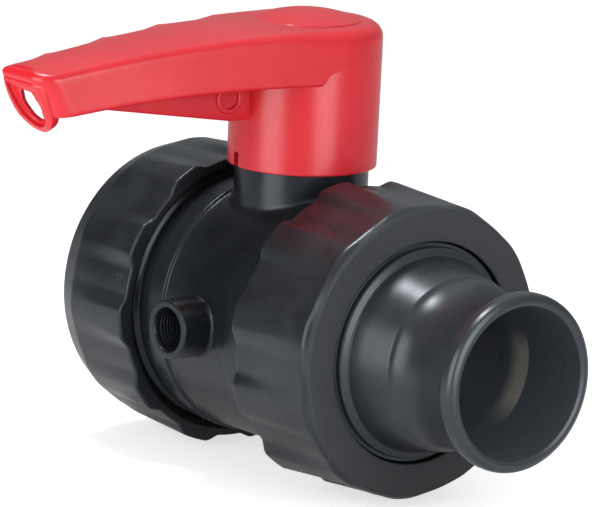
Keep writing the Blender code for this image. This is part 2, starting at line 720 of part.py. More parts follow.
def grip_dip(x, reach):
    """Depth of the shallow finger dips along the far edge of the lever's top."""
    if x > 0 or reach < GRIP_PITCH:
        return 0.0
    return GRIP_DEPTH * abs(math.sin(math.pi * reach / GRIP_PITCH))


def lever_end_slope(reach):
    """How far a section leans back per unit of depth: nothing at mid lever, the eye's lean at the tip."""
    start = 0.7
    share = max(0.0, (reach / LEVER_REACH - start) / (1 - start))
    return math.tan(EYE_LEAN) * share ** 2


def lever_place(x, reach, z):
    """A point of the lever, which leans back under its top line towards the tip."""
    return (x, -reach + lever_end_slope(reach) * (lever_top(reach) - z), z)


def lever_outline():
    """Places (x, reach) and outward directions round the lever seen from above: side, hub and other side."""
    lean = lever_lean()
    tip_steps, side_steps, hub_steps = 3, 22, 16
    side = []
    round_reach = LEVER_REACH - LEVER_TIP_ROUND
    round_x = (LEVER_HUB_RADIUS - LEVER_TIP_ROUND - round_reach * math.sin(lean)) / math.cos(lean)
    for step in range(tip_steps):
        angle = math.pi / 2 + (lean - math.pi / 2) * step / tip_steps
        out, ahead = math.cos(angle), math.sin(angle)
        side.append((round_x + LEVER_TIP_ROUND * out, round_reach + LEVER_TIP_ROUND * ahead, out, ahead))
    straight = round_reach + LEVER_TIP_ROUND * math.sin(lean)
    for step in range(side_steps + 1):
        reach = straight + (lever_tangent() - straight) * step / side_steps
        side.append((lever_half_width(reach), reach, math.cos(lean), math.sin(lean)))
    hub = []
    for step in range(1, hub_steps):
        angle = lean - (math.pi + 2 * lean) * step / hub_steps
        out, ahead = math.cos(angle), math.sin(angle)
        hub.append((LEVER_HUB_RADIUS * out, LEVER_HUB_RADIUS * ahead, out, ahead))
    return side + hub + [(-x, reach, -out, ahead) for x, reach, out, ahead in reversed(side)]


def make_lever_blank():
    """The lever and the hub's cap as one skin, from the middle line below, up the sides and over the top."""
    rows = []
    for x, reach, out, ahead in lever_outline():
        edge = LEVER_EDGE + (HUB_FILLET - LEVER_EDGE) * ease((EDGE_GROWTH - reach) / EDGE_GROWTH)
        corner = edge * (1 - math.cos(math.radians(45)))
        inner_x, inner_reach = x - out * edge, reach - ahead * edge
        middle = max(inner_reach, lever_tangent())
        low = lever_low(max(reach, lever_tangent()))
        top = lever_top(middle)
        rim = top - grip_dip(x, reach)
        halfway = (inner_reach + middle) / 2
        crown_halfway = lever_crown(halfway) * (1 - 0.5 ** 2)
        rows.append([
            lever_place(0, middle, low),
            lever_place(x, reach, low + far_rise(x, reach)),
            lever_place(x, reach, rim - edge),
            lever_place(x - out * corner, reach - ahead * corner, rim - corner),
            lever_place(inner_x, inner_reach, rim),
            lever_place(inner_x / 2, halfway, top + crown_halfway),
            lever_place(0, middle, top + lever_crown(middle)),
        ])
    bm = bmesh.new()
    grid = [[bm.verts.new(point) for point in row] for row in rows]
    for index, row in enumerate(grid):
        before = grid[index - 1]
        for i in range(1, len(row)):
            bm.faces.new((before[i - 1], before[i], row[i], row[i - 1]))
    return finish(bm, "lever_blank")


def make_lever_hollow():
    """The channel under the lever, one wall inside its skin, from the hub to the eye."""
    start = LEVER_HUB_RADIUS + LEVER_WALL
    end = LEVER_REACH - EYE_THICKNESS
    steps = 8
    sections = []
    for step in range(steps + 1):
        reach = start + (end - start) * step / steps
        half = lever_half_width(reach) - LEVER_WALL
        roof = lever_top(reach) - LEVER_WALL
        floor = lever_low(reach) - OVERLAP
        corners = [(half, floor), (half, roof), (-half, roof), (-half, floor)]
        sections.append([lever_place(x, reach, z) for x, z in corners])
    return loft("lever_hollow", sections)


def make_pad():
    """The round disc on the hub's top, about the stem, with a slight step at its edge and a domed face."""
    edge = HUB_TOP + PAD_RISE
    steps = 6
    shares = [step / steps for step in range(steps + 1)]
    dome = [(edge + PAD_DOME * (1 - share ** 2), PAD_RADIUS * share) for share in shares]
    foot = HUB_TOP - HUB_FILLET
    return turned("hub_pad", [*dome, (foot, PAD_RADIUS), (foot, 0)], None, ROUND_STEPS, True)


def make_web():
    """The fin under the lever's middle line, deepest beside the hub."""
    near = HUB_RADIUS - OVERLAP
    far = LEVER_REACH - WEB_SETBACK
    deep = lever_top(near) - lever_side(near) - WEB_DROP
    shallow = lever_top(far) - lever_side(far)
    outline = [
        (-near, deep),
        (-near, lever_top(near) - OVERLAP),
        (-far, lever_top(far) - OVERLAP),
        (-far, shallow),
        (-near - WEB_FLAT, deep),
    ]
    return prism("lever_web", outline, -WEB_THICKNESS / 2, WEB_THICKNESS / 2, "X")


def make_web_ring():
    place = HUB_RADIUS + WEB_RING_PLACE
    height = lever_top(place) - lever_side(place) - WEB_RING_DROP
    half = WEB_THICKNESS / 2 + WEB_RING_PROUD
    ring = tube("web_ring", -half, half, WEB_RING_RADIUS - WEB_RING_WIDTH, WEB_RING_RADIUS)
    ring.location = (0, -place, height)
    return ring


def eye_outline(half, length, top):
    """A plate hanging from top, half wide each way and length deep, with a round lower edge."""
    radius = half * EYE_ROUND_SHARE
    angles = [-math.pi * step / 8 for step in range(9)]
    lower = [(radius * math.cos(a), radius * (1 + math.sin(a)) - length) for a in angles]
    return [(half, top), *lower, (-half, top)]


def make_eye():
    """The leaning plate that closes the lever's end, its recess, and the lanyard slot through it."""
    half = LEVER_TIP_HALF_WIDTH - EYE_SIDE_INSET
    thick = EYE_THICKNESS * math.cos(EYE_LEAN) - EYE_INSET
    plate = prism("eye_plate", eye_outline(half, EYE_LENGTH, 0), -thick / 2, thick / 2, "Y")
    recess = prism("eye_recess", eye_outline(half - EYE_RIM, EYE_LENGTH - EYE_RIM, -EYE_RIM),
                   -3 * thick, EYE_RECESS - thick / 2, "Y")
    radius = EYE_SLOT_WIDTH / 2
    rise = EYE_SLOT_HEIGHT / 2 - radius
    middle = EYE_SLOT_FLOOR + EYE_SLOT_HEIGHT / 2 - EYE_LENGTH
    upper = [math.pi * step / 6 for step in range(7)]
    outline = [(radius * math.cos(a), middle + rise + radius * math.sin(a)) for a in upper]
    outline += [(-radius * math.cos(a), middle - rise - radius * math.sin(a)) for a in upper]
    slot = prism("eye_slot", outline, -3 * thick, 3 * thick, "Y")
    for piece in (plate, recess, slot):
        piece.rotation_euler.x = EYE_LEAN
        piece.location = (0, EYE_THICKNESS / 2 - LEVER_REACH, lever_top(LEVER_REACH) - OVERLAP)
    return plate, recess, slot


def make_handle(material):
    skirt = HUB_RADIUS
    cap = HUB_TOP - HUB_FILLET - OVERLAP
    handle = turned("handle", rounded([
        (SKIRT_BOTTOM, 0, 0),
        (SKIRT_BOTTOM, skirt - SKIRT_CHAMFER, 0),
        (SKIRT_BOTTOM + SKIRT_CHAMFER, skirt, 0),
        (cap, LEVER_HUB_RADIUS - CAP_STEP, 0),
        (cap, 0, 0),
    ]), material, ROUND_STEPS, True)
    combine(handle, make_lever_blank(), "UNION")
    combine(handle, make_pad(), "UNION")
    combine(handle, make_lever_hollow(), "DIFFERENCE")
    combine(handle, make_web(), "UNION")
    combine(handle, make_web_ring(), "UNION")
    plate, recess, slot = make_eye()
    combine(handle, plate, "UNION")
    combine(handle, recess, "DIFFERENCE")
    combine(handle, slot, "DIFFERENCE")

    inner = NECK_RADIUS + TOUCH
    ceiling = HUB_TOP - HUB_ROOF
    socket_low = NECK_TOP + SOCKET_LIFT
    combine(handle, turned("hub_hollow", [
        (SKIRT_BOTTOM - OVERLAP, 0),
        (SKIRT_BOTTOM - OVERLAP, inner),
        (ceiling, inner),
        (ceiling, SOCKET_RADIUS),
        (socket_low, SOCKET_RADIUS),
        (socket_low, 0),
    ], None, ROUND_STEPS, True), "DIFFERENCE")
    socket = slab_sided(DRIVE_RADIUS + TOUCH, DRIVE_FLAT + 2 * TOUCH)
    combine(handle, prism("drive_socket", socket, NECK_TOP, DRIVE_TOP + TOUCH), "DIFFERENCE")
    combine(handle, sector("stop_rib", STOP_INNER, NECK_RADIUS + OVERLAP, NECK_TOP + TOUCH,
                           NECK_TOP + STOP_RIB_HEIGHT, STOP_REST, STOP_ANGLE), "UNION")
    notch = box("skirt_notch", (-NOTCH_WIDTH / 2, -skirt - OVERLAP, SKIRT_BOTTOM - OVERLAP),
                (NOTCH_WIDTH / 2, OVERLAP - NECK_RADIUS, SKIRT_BOTTOM + NOTCH_HEIGHT))
    notch.rotation_euler.z = NOTCH_TURN
    combine(handle, notch, "DIFFERENCE")
    return handle


def build():
    clear_scene()
    centre = bpy.data.objects.new("ball_centre", None)
    bpy.context.collection.objects.link(centre)
    centre.location.x = INLET_MOUTH
    materials = {name: make_material(name) for name in COLOURS}
    black = materials["black_plastic"]
    nut_black = materials["black_nut_plastic"]
    red = materials["red_plastic"]
    white = materials["white_seat"]
    rubber = materials["seal_rubber"]
    half_turn = math.pi

    pieces = [make_body(black), make_stem(black), make_carrier(black), make_spigot(black), make_handle(red)]

    ball = make_ball(materials["grey_ball"])
    ball.rotation_euler.z = math.radians(90)
    inlet = make_inlet(black)
    inlet.rotation_euler.z = half_turn
    pieces += [ball, inlet]

    cushion = SEAT_BACK + TOUCH + SEAL_GROOVE / 2
    face_seal = FLANGE_BACK + SEAL_GROOVE / 2
    nut_ends = {
        "inlet": (INLET_NUT_FACE, INLET_LIP, INLET_CHAMFER_LENGTH, INLET_CHAMFER_STEP),
        "outlet": (NUT_FACE, NUT_LIP, NUT_CHAMFER_LENGTH, NUT_CHAMFER_STEP),
    }
    for side, turn in (("inlet", half_turn), ("outlet", 0)):
        ring_pieces = [
            make_seat(f"{side}_ball_seat", white),
            seal_ring(f"{side}_seat_o_ring", cushion, SEAT_SEAL_RADIUS, rubber),
            seal_ring(f"{side}_face_o_ring", face_seal, FACE_SEAL_RADIUS, rubber),
        ]
        for piece in ring_pieces:
            piece.rotation_euler.z = turn
        nut = make_nut(f"{side}_union_nut", nut_black, *nut_ends[side])
        nut.rotation_euler = (OUTLET_NUT_TURN if side == "outlet" else -INLET_NUT_TURN, 0, turn)
        nut.location.x = NUT_INNER_END if side == "outlet" else -NUT_INNER_END
        pieces += ring_pieces + [nut]

    carrier_seal = CARRIER_RADIUS - SEAL_ROOM - SEAL_DIAMETER / 2
    pieces.append(seal_ring("carrier_o_ring", CARRIER_SEAL_PLACE, carrier_seal, rubber))
    stem_seal = STEM_RADIUS + TOUCH - SEAL_ROOM - SEAL_DIAMETER / 2
    for place, height in zip(("lower", "upper"), SEAL_HEIGHTS):
        pieces.append(seal_ring(f"stem_o_ring_{place}", height, stem_seal, rubber, True))
    pieces.append(tube("stem_thrust_washer", WASHER_BOTTOM, WASHER_BOTTOM + WASHER_THICKNESS,
                      STEM_RADIUS + TOUCH, STEM_RADIUS + STEM_FLANGE_STEP, white, True))

    for piece in pieces:
        piece.parent = centre


build()
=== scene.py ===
"""A black plastic ball valve with two union nuts and a red lever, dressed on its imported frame.

Lengths are millimetres from the ball's centre: X along the flow, Z up the stem, and the closed lever
towards -Y. skin() turns them into metres in the frame, whose origin is the middle of the inlet mouth.
"""

import math

import bmesh
import bpy
import numpy as np
from mathutils import Matrix, Vector


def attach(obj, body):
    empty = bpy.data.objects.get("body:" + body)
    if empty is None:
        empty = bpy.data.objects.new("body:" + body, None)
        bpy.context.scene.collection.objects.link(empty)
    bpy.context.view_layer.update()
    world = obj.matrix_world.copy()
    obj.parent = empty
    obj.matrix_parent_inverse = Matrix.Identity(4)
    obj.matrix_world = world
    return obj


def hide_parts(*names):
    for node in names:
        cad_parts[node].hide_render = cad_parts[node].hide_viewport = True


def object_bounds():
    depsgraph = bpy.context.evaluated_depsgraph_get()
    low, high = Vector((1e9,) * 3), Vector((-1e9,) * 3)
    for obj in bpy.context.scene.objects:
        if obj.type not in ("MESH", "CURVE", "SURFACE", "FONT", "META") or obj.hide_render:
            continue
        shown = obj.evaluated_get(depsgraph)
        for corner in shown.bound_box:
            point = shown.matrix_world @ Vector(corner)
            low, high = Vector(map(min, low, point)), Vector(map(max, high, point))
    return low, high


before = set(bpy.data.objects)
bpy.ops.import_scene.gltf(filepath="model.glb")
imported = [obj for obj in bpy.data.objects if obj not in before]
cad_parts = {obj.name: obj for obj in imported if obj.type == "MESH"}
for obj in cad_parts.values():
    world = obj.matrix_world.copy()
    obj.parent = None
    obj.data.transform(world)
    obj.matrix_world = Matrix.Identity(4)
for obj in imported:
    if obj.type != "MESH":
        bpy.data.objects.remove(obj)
cad_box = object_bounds()

MM = 0.001
TURN = 2.0 * math.pi
INLET_REACH = 80.0
GAP = 0.3

# Body
BARREL_RADIUS = 46.0
BODY_END = 58.0
END_RADIUS = 44.2
FLOW_RADIUS = 25.0
RING_FOOT = 17.4
RING_SLOPE = 0.8
RING_END = 26.4
RING_RADIUS = 47.0
RELIEF_RADIUS = 44.8
CHAMBER_RADIUS = 38.3
CARRIER_STEP = 27.1
CARRIER_BORE = 40.5

# Neck and side port
NECK_RADIUS = 24.0
NECK_TOP = 58.0
NECK_FILLET = 2.2
NECK_FILLET_WIDER = 4.6
NECK_FILLET_TALLER = 1.6
NECK_STRAIGHT = 54.0
STEM_BORE = 11.3
STEM_BORE_LOW = 34.0
PORT_RADIUS = 10.7
PORT_HOLE = 7.5
PORT_FACE = 57.7
PORT_FLOOR = 44.7
PORT_FILLET = 1.5
PORT_STRAIGHT = 51.5
PORT_BACK = 40.5
PORT_PITCH = 1.337
PORT_THREAD = 0.3

# Union threads
THREAD_PITCH = 6.0
THREAD_TOP = 47.0
THREAD_FOOT = 44.9
THREAD_START = 31.0
THREAD_END = 56.6
NUT_THREAD_TOP = 45.2
NUT_BORE = 47.3

# Nuts
NUT_START = 32.0
NUT_RADIUS = 54.8
NUT_TAPER = 2.0
NUT_OPENING = 39.6
NUT_SHOULDER = 33.0
NUT_CHAMFER = 2.2
INLET_NUT_LENGTH = 42.0
INLET_NUT_BEVEL = 9.6
INLET_NUT_STEP = 3.6
INLET_NUT_TURN = math.radians(62.7)
OUTLET_NUT_LENGTH = 40.0
OUTLET_NUT_BEVEL = 2.6
OUTLET_NUT_STEP = 2.0
OUTLET_NUT_TURN = math.radians(77.4)
NUT_THREAD_START = 3.8
NUT_THREAD_END = 31.0
INLET_GATE_AT = -38.0
INLET_GATE_TURN = math.radians(77.75)
INLET_GATE_RADIUS = 51.9
OUTLET_GATE_AT = 45.25
OUTLET_GATE_RADIUS = 51.8
LOBES = 11
LOBE_DEPTH = 2.6
LOBE_DEPTH_AT_RIM = 0.7
CREST = 0.25
CREST_LOSS = 0.03
FLANK = 0.20
FLANK_GAIN = 0.12

# End fittings
FLANGE_BACK = 58.3
FLANGE_FRONT = 64.7
FLANGE_RADIUS = 46.0
COLLAR_RADIUS = 37.6
COLLAR_END = 72.6
LAND = 1.5
LAND_END = 70.2
CONE_START = 73.6
CONE_RADIUS = 35.0
CONE_END = 90.4
CONE_END_RADIUS = 31.1
WAIST_START = 90.7
WAIST_LENGTH = 29.4
WAIST_RADIUS = 30.7
WAIST_SAG = 2.7
FLARE_START = 116.6
FLARE_LENGTH = 4.6
SPIGOT_END = 124.7
RIM_RADIUS = 31.5
RIM_BORE = 27.1
STEP_CONE_START = 89.8
STEP_CONE_END = 98.3
STEP_CONE_RADIUS = 25.8
SOCKET_RADIUS = 28.4
SOCKET_FLOOR = 62.5
SOCKET_PITCH = 2.309
SOCKET_THREAD = 1.1

# Ball, seats and seals
BALL_RADIUS = 37.5
BALL_MOUTH = 27.7
SEAT_FRONT = 24.0
SEAT_BACK = 31.23
SEAT_RADIUS = 32.6
SEAT_BORE = 25.8
SEAT_CUP = 29.2
SEAT_RING = 29.2
WASHER_LOW = 41.6
WASHER_HIGH = 43.0
WASHER_RADIUS = 14.5
SEAL = 1.2
GROOVE = 1.35
FACE_SEAL = 32.75
CARRIER_SEAL_AT = 44.6
STEM_SEAL_LOW = 46.0
STEM_SEAL_HIGH = 51.2

# Handle
HUB_RADIUS = 26.7
HUB_DRAFT = 0.4
HUB_INSIDE = 24.3
HUB_TOP = 107.0
HUB_FILLET = 5.5
HUB_FILLET_END = 38.0
TUBE_TOP = 96.0
SKIRT = 55.0
NOTCH_TURN = math.radians(260.0)
NOTCH_HALF = 1.7
NOTCH_HEIGHT = 5.0
SHELL_RADIUS = HUB_RADIUS + 0.31
WALL = 2.8
REACH = 125.0
TIP_HALF = 13.0
TIP_ROUND = 8.5
TIP_ROUND_FAR = 4.5
TIP_EDGE = 3.0
TIP_DROP = 11.0
TIP_LEAN = math.radians(28.0)
SIDE_AT_HUB = 20.0
SIDE_AT_TIP = 14.0
CROWN = 2.6
CROWN_START = 55.0
FINGER = 26.2
FINGER_DEPTH = 1.1
EDGE_CURL = 3.5
CURL_END = 12.5
CURL_LENGTH = 3.5
SINK_END = 10.4
SINK_LENGTH = 3.4
FAR_EDGE_RISE = 6.5
FAR_EDGE_START = 92.0
FAR_EDGE_LENGTH = 22.0
NEAR_CORNER = 8.2
NEAR_CORNER_LENGTH = 3.4
TIP_WALL = 5.0
PAD_RADIUS = 19.0
PAD_RISE = 0.3
PAD_DOME = 3.5
WEB_NEAR = 25.4
WEB_BEND = 34.7
WEB_FAR = 106.0
WEB_DROP = 14.7
WEB_RING_REACH = 35.9
WEB_RING_HEIGHT = 81.5
WEB_RING_HALF = 3.5
WEB_RING_HOLE = 3.7
WEB_RING_RADIUS = 5.7
EYE_HALF = 11.0
EYE_LENGTH = 21.0
EYE_ROUND = 9.9
EYE_RIM = 2.2
EYE_HALF_THICK = 1.83
EYE_FLOOR = 0.17
EYE_REACH = 122.7
EYE_TOP = 95.0
SLOT_HALF = 4.0
SLOT_RISE = 2.7
SLOT_MIDDLE = -11.1
SLOT_ASIDE = -0.7

# Studio, in metres, degrees and watts: name, heading, rise, distance, width, height and power of each lamp
LAMPS = (
    ("lamp_left", 4.0, 9.0, 0.40, 0.25, 0.29, 1.0),
    ("lamp_right", 84.0, 9.0, 0.46, 0.26, 0.30, 1.2),
    ("lamp_over", -60.0, 74.0, 0.7, 0.14, 0.14, 2.9),
)
LAMP_AIM = 0.03
DARK_SKY = (-0.80, -0.50, 0.33)
FLOOR_HALF = 30.0
FLOOR_GAP = 0.0006
CAMERA_RIGHT = Vector((0.6186, 0.7846, 0.0410))
CAMERA_UP = Vector((-0.1975, 0.1047, 0.9747))
CAMERA_BACK = Vector((0.7605, -0.6111, 0.2197))
CAMERA_DISTANCE = 1.8595
CAMERA_LENS = 310.9
CAMERA_FOCUS_PX = 5181.5
CAMERA_SHIFT_PX = (4.6, 59.0)


def ease(value):
    """Rises from 0 to 1 with level ends, three times the square less twice the cube, and holds outside."""
    value = np.clip(value, 0.0, 1.0)
    return value * value * (3.0 - 2.0 * value)


def around(count):
    """Angles once round a circle, as a column."""
    return np.linspace(0.0, TURN, count, endpoint=False)[:, None]


def stack(*parts):
    """Arrays of one coordinate each, spread to a common shape and joined as points."""
    return np.stack(np.broadcast_arrays(*parts), axis=-1).astype(float)


def swept(first, corner, last, steps):
    """A parabola from first to last that leaves and arrives along the lines to corner: the squares of the
    way left and of the way gone weigh the ends, and twice their product the corner."""
    share = np.linspace(0.0, 1.0, steps)[None, :]
    return (1 - share) ** 2 * first + 2 * share * (1 - share) * corner + share**2 * last


def soft(corners, cuts, closed=True):
    """An outline with its corners eased: at each, a parabola runs between points one cut length back and
    ahead. A point half as far again is kept on both sides, which holds the flats flat. Open outlines keep
    their ends."""
    corners = np.asarray(corners, float)
    cuts = np.broadcast_to(np.asarray(cuts, float), corners.shape[:-1])[..., None]
    back = np.roll(corners, 1, axis=-2) - corners
    ahead = np.roll(corners, -1, axis=-2) - corners
    back_length = np.linalg.norm(back, axis=-1, keepdims=True) + 1e-9
    ahead_length = np.linalg.norm(ahead, axis=-1, keepdims=True) + 1e-9
    start = (back / back_length * np.minimum(cuts, 0.3 * back_length))[..., None, :]
    end = (ahead / ahead_length * np.minimum(cuts, 0.3 * ahead_length))[..., None, :]
    share = np.linspace(0.0, 1.0, 5)[:, None]
    bend = (1.0 - share) ** 2 * start + share**2 * end
    path = corners[..., None, :] + np.concatenate([1.5 * start, bend, 1.5 * end], axis=-2)
    if closed:
        return path.reshape(*corners.shape[:-2], -1, corners.shape[-1])
    inner = path[..., 1:-1, :, :].reshape(*corners.shape[:-2], -1, corners.shape[-1])
    return np.concatenate([corners[..., :1, :], inner, corners[..., -1:, :]], axis=-2)


def turned(outline, count, upright=False):
    """An outline of (along, out) pairs carried round X, or round Z where upright. It may change with the
    angle."""
    outline = np.broadcast_to(outline, (count, *np.shape(outline)[-2:]))
    along, out, turn = outline[..., 0], outline[..., 1], around(count)
    if upright:
        return stack(out * np.cos(turn), out * np.sin(turn), along)
    return stack(along, -out * np.sin(turn), out * np.cos(turn))


def spread(path, count):
    """One open path repeated for each angle, so that it can be joined to paths that change with the
    angle."""
    path = np.asarray(path, float)
    return np.broadcast_to(path, (count, *path.shape[-2:]))


def skin(name, points, body, finish, nodes=(), wrap=(True, True), weld=False):
    """A closed skin of quads over a grid of points, joined round where wrap says so, with its faces
    turned outwards by the sign of the volume inside. weld closes poles and folded edges, and finish is a
    slot and its material."""
    slot, material = finish
    rows, columns = points.shape[:2]
    index = np.arange(rows * columns).reshape(rows, columns)
    lines = np.concatenate([index, index[:1]]) if wrap[0] else index
    lines = np.concatenate([lines, lines[:, :1]], axis=1) if wrap[1] else lines
    quads = np.stack([lines[:-1, :-1], lines[1:, :-1], lines[1:, 1:], lines[:-1, 1:]], axis=-1)
    quads = quads.reshape(-1, 4)
    places = (points.reshape(-1, 3) + (INLET_REACH, 0.0, 0.0)) * MM
    one, two, three, four = (places[quads[:, k]] for k in range(4))
    volume = np.einsum("ij,ij->", one, np.cross(two, three) + np.cross(three, four))
    quads = quads[:, ::-1] if volume < 0.0 else quads
    mesh = bpy.data.meshes.new(name)
    mesh.from_pydata(places.tolist(), [], quads.tolist())
    if weld:
        work = bmesh.new()
        work.from_mesh(mesh)
        bmesh.ops.remove_doubles(work, verts=work.verts, dist=2e-7)
        work.to_mesh(mesh)
        work.free()
    mesh.polygons.foreach_set("use_smooth", np.ones(len(mesh.polygons), bool))
    mesh.update()
    piece = bpy.data.objects.new(name, mesh)
    bpy.context.scene.collection.objects.link(piece)
    mesh.materials.append(material)
    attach(piece, body)
    if nodes:
        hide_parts(*nodes)


class Value:
    """A shader socket that can be added, multiplied and so on, each time by one Math node."""

    def __init__(self, paint, socket):
        self.paint, self.socket = paint, socket

    def math(self, operation, first, second):
        """One sum of two numbers or Values."""
        return self.paint.node("ShaderNodeMath", {"operation": operation}, {0: first, 1: second})

    def __add__(self, other):
        return self.math("ADD", self, other)

    def __radd__(self, other):
        return self.math("ADD", other, self)

    def __sub__(self, other):
        return self.math("SUBTRACT", self, other)

    def __rsub__(self, other):
        return self.math("SUBTRACT", other, self)

    def __mul__(self, other):
        return self.math("MULTIPLY", self, other)

    def __rmul__(self, other):
        return self.math("MULTIPLY", other, self)


class Paint:
    """The node tree of a material or of the sky, with one way to add a node: its type, its settings, its
    feeds."""

    def __init__(self, owner, shader="Principled BSDF", place="Object"):
        owner.use_nodes = True
        self.owner, self.tree = owner, owner.node_tree
        self.shader = self.tree.nodes[shader]
        self.place = self.node("ShaderNodeTexCoord", output=place)

    def feed(self, socket, value):
        """Links a Value to the socket, or sets the socket. A colour is written without its alpha, which
        is 1."""
        if isinstance(value, Value):
            self.tree.links.new(value.socket, socket)
        else:
            socket.default_value = (*value, 1.0) if socket.type == "RGBA" else value

    def node(self, kind, settings=None, feeds=None, output=0):
        """Adds a node: its settings first, then the values or links of its sockets. Gives back one
        output."""
        made = self.tree.nodes.new(kind)
        for key, value in (settings or {}).items():
            setattr(made, key, value)
        for key, value in (feeds or {}).items():
            self.feed(made.inputs[key], value)
        return Value(self, made.outputs[output])

    def axis(self, name):
        """The part of the place along one axis."""
        return self.node("ShaderNodeSeparateXYZ", {}, {0: self.place}, name)

    def noise(self, size, detail=2.0, rough=0.5, stretch=(1.0, 1.0, 1.0)):
        """Noise whose lumps are about size millimetres across, stretched along the axes."""
        place = self.node("ShaderNodeMapping", {}, {"Vector": self.place, "Scale": stretch})
        feeds = {"Vector": place, "Scale": 1.0 / (size * MM), "Detail": detail, "Roughness": rough}
        return self.node("ShaderNodeTexNoise", {}, feeds)

    def ramp(self, value, low, high, to_low=0.0, to_high=1.0):
        """Carries value from the span low to high over to another span, with eased ends."""
        feeds = {"Value": value, "From Min": low, "From Max": high, "To Min": to_low, "To Max": to_high}
        return self.node("ShaderNodeMapRange", {"interpolation_type": "SMOOTHSTEP"}, feeds)

    def blend(self, share, first, second):
        """A colour between two colours."""
        return self.node("ShaderNodeMix", {"data_type": "RGBA"}, {0: share, 6: first, 7: second}, 2)

    def bump(self, height, strength, depth, under=None):
        """A relief, depth millimetres deep at full strength, on top of the relief under it."""
        feeds = {"Height": height, "Strength": strength, "Distance": depth * MM}
        if under is not None:
            feeds["Normal"] = under
        return self.node("ShaderNodeBump", {}, feeds)

    def set(self, **inputs):
        """Feeds the shader's sockets, with _ for a space in their names, and gives back the material or
        sky."""
        for key, value in inputs.items():
            self.feed(self.shader.inputs[key.replace("_", " ")], value)
        return self.owner


# The cool tint of the black plastics' reflections
SHEEN = (0.86, 0.93, 1.0)


def times(colour, factor):
    """A colour made lighter by a factor."""
    return tuple(factor * part for part in colour)


def black_plastic(name, dark, light, rough, grain, specular, bore=0.0):
    """Moulded black: a slow drift of tone, a fine grain in relief and faint wiped streaks in the gloss.
    Inside the radius bore round X the skin is painted paler, as painted light falling into the bore, and a
    pale crescent of painted light lies on the step cone deep in it, on the +Y side."""
    paint = Paint(bpy.data.materials.new(name))
    drift = paint.ramp(paint.noise(22.0, 3.0), 0.3, 0.7)
    speck = paint.noise(0.55, 2.0, 0.6)
    streak = paint.noise(6.0, 4.0, 0.6, (1.0, 0.3, 0.3))
    colour = paint.blend(drift, dark, light)
    colour = paint.blend(paint.ramp(speck, 0.62, 0.78) * 0.5, colour, times(light, 2.2))
    gloss = rough + 0.14 * (streak - 0.5) + 0.10 * (speck - 0.5)
    if bore:
        # Painted light: inside the bore the skin is made paler, standing in for light that falls into the
        # pipe
        feeds = {0: paint.place, 1: (0.0, 1.0, 1.0)}
        across_flow = paint.node("ShaderNodeVectorMath", {"operation": "MULTIPLY"}, feeds)
        radius = paint.node("ShaderNodeVectorMath", {"operation": "LENGTH"}, {0: across_flow}, "Value")
        inside = paint.ramp(radius, (bore + 0.1) * MM, (bore - 0.3) * MM)
        along, across, up = (paint.axis(axis) for axis in "XYZ")
        near, deep = (INLET_REACH + STEP_CONE_END) * MM, (INLET_REACH + STEP_CONE_START) * MM
        # Painted light: a pale crescent on the step cone deep in the bore, on the +Y side about and below
        # the middle height, where lamp light would fall in
        painted_cone_light = paint.ramp(along, near + 0.2 * MM, near - 0.2 * MM)
        painted_cone_light = painted_cone_light * paint.ramp(along, deep - 1.8 * MM, deep + 5.2 * MM)
        painted_cone_light = painted_cone_light * paint.ramp(across, 0.0, 12.0 * MM)
        painted_cone_light = painted_cone_light * paint.ramp(up, -22.0 * MM, -13.0 * MM) * paint.ramp(up, 12.0 * MM, 3.0 * MM)
        # Painted light: the paler skin inside the bore, then the pale crescent of painted light on the step
        # cone
        colour = paint.blend(inside, colour, times(light, 2.3))
        colour = paint.blend(inside * painted_cone_light, colour, (0.21, 0.20, 0.18))
    relief = paint.bump(paint.noise(0.32, 2.0, 0.6), grain, 0.05)
    relief = paint.bump(paint.noise(9.0, 2.0), 0.12, 0.25, relief)
    paint.set(Specular_IOR_Level=specular, Specular_Tint=SHEEN)
    return paint.set(Base_Color=colour, Roughness=gloss, Normal=relief)


def nut_plastic():
    """The nuts' black: glossy skin on the lobes, and on the end face a matt, sandy skin with pale specks,
    its paler tone partly painted light for the light the matt face catches."""
    paint = Paint(bpy.data.materials.new("nut_black"))
    along = paint.axis("X")
    outlet_end = (INLET_REACH + NUT_START + OUTLET_NUT_LENGTH) * MM
    inlet_end = (INLET_REACH - NUT_START - INLET_NUT_LENGTH) * MM
    face = paint.ramp(along, outlet_end - 1.3 * MM, outlet_end - 0.3 * MM)
    face = face + paint.ramp(along, inlet_end + 1.3 * MM, inlet_end + 0.3 * MM)
    drift = paint.ramp(paint.noise(18.0, 3.0), 0.3, 0.7)
    sand = paint.noise(0.5, 3.0, 0.65)
    colour = paint.blend(drift, (0.0125, 0.0138, 0.0160), (0.0215, 0.0237, 0.0270))
    # Partly painted light: the end face's matt tone is paler than the lobes to stand in for the light it
    # catches; its sandy specks are its own
    matt = paint.blend(paint.ramp(sand, 0.35, 0.75), (0.018, 0.0185, 0.020), (0.050, 0.051, 0.053))
    colour = paint.blend(paint.ramp(sand, 0.60, 0.78) * 0.5, colour, (0.056, 0.058, 0.062))
    colour = paint.blend(face, colour, matt)
    gloss = 0.29 + 0.14 * (paint.noise(7.0, 3.0) - 0.5) + 0.12 * (sand - 0.5) + face * 0.34
    relief = paint.bump(paint.noise(0.55, 2.0, 0.6), 0.5, 0.07)
    relief = paint.bump(paint.noise(8.0, 2.0), 0.15, 0.3, relief)
    paint.set(Specular_IOR_Level=0.40, Specular_Tint=SHEEN)
    return paint.set(Base_Color=colour, Roughness=gloss, Normal=relief)


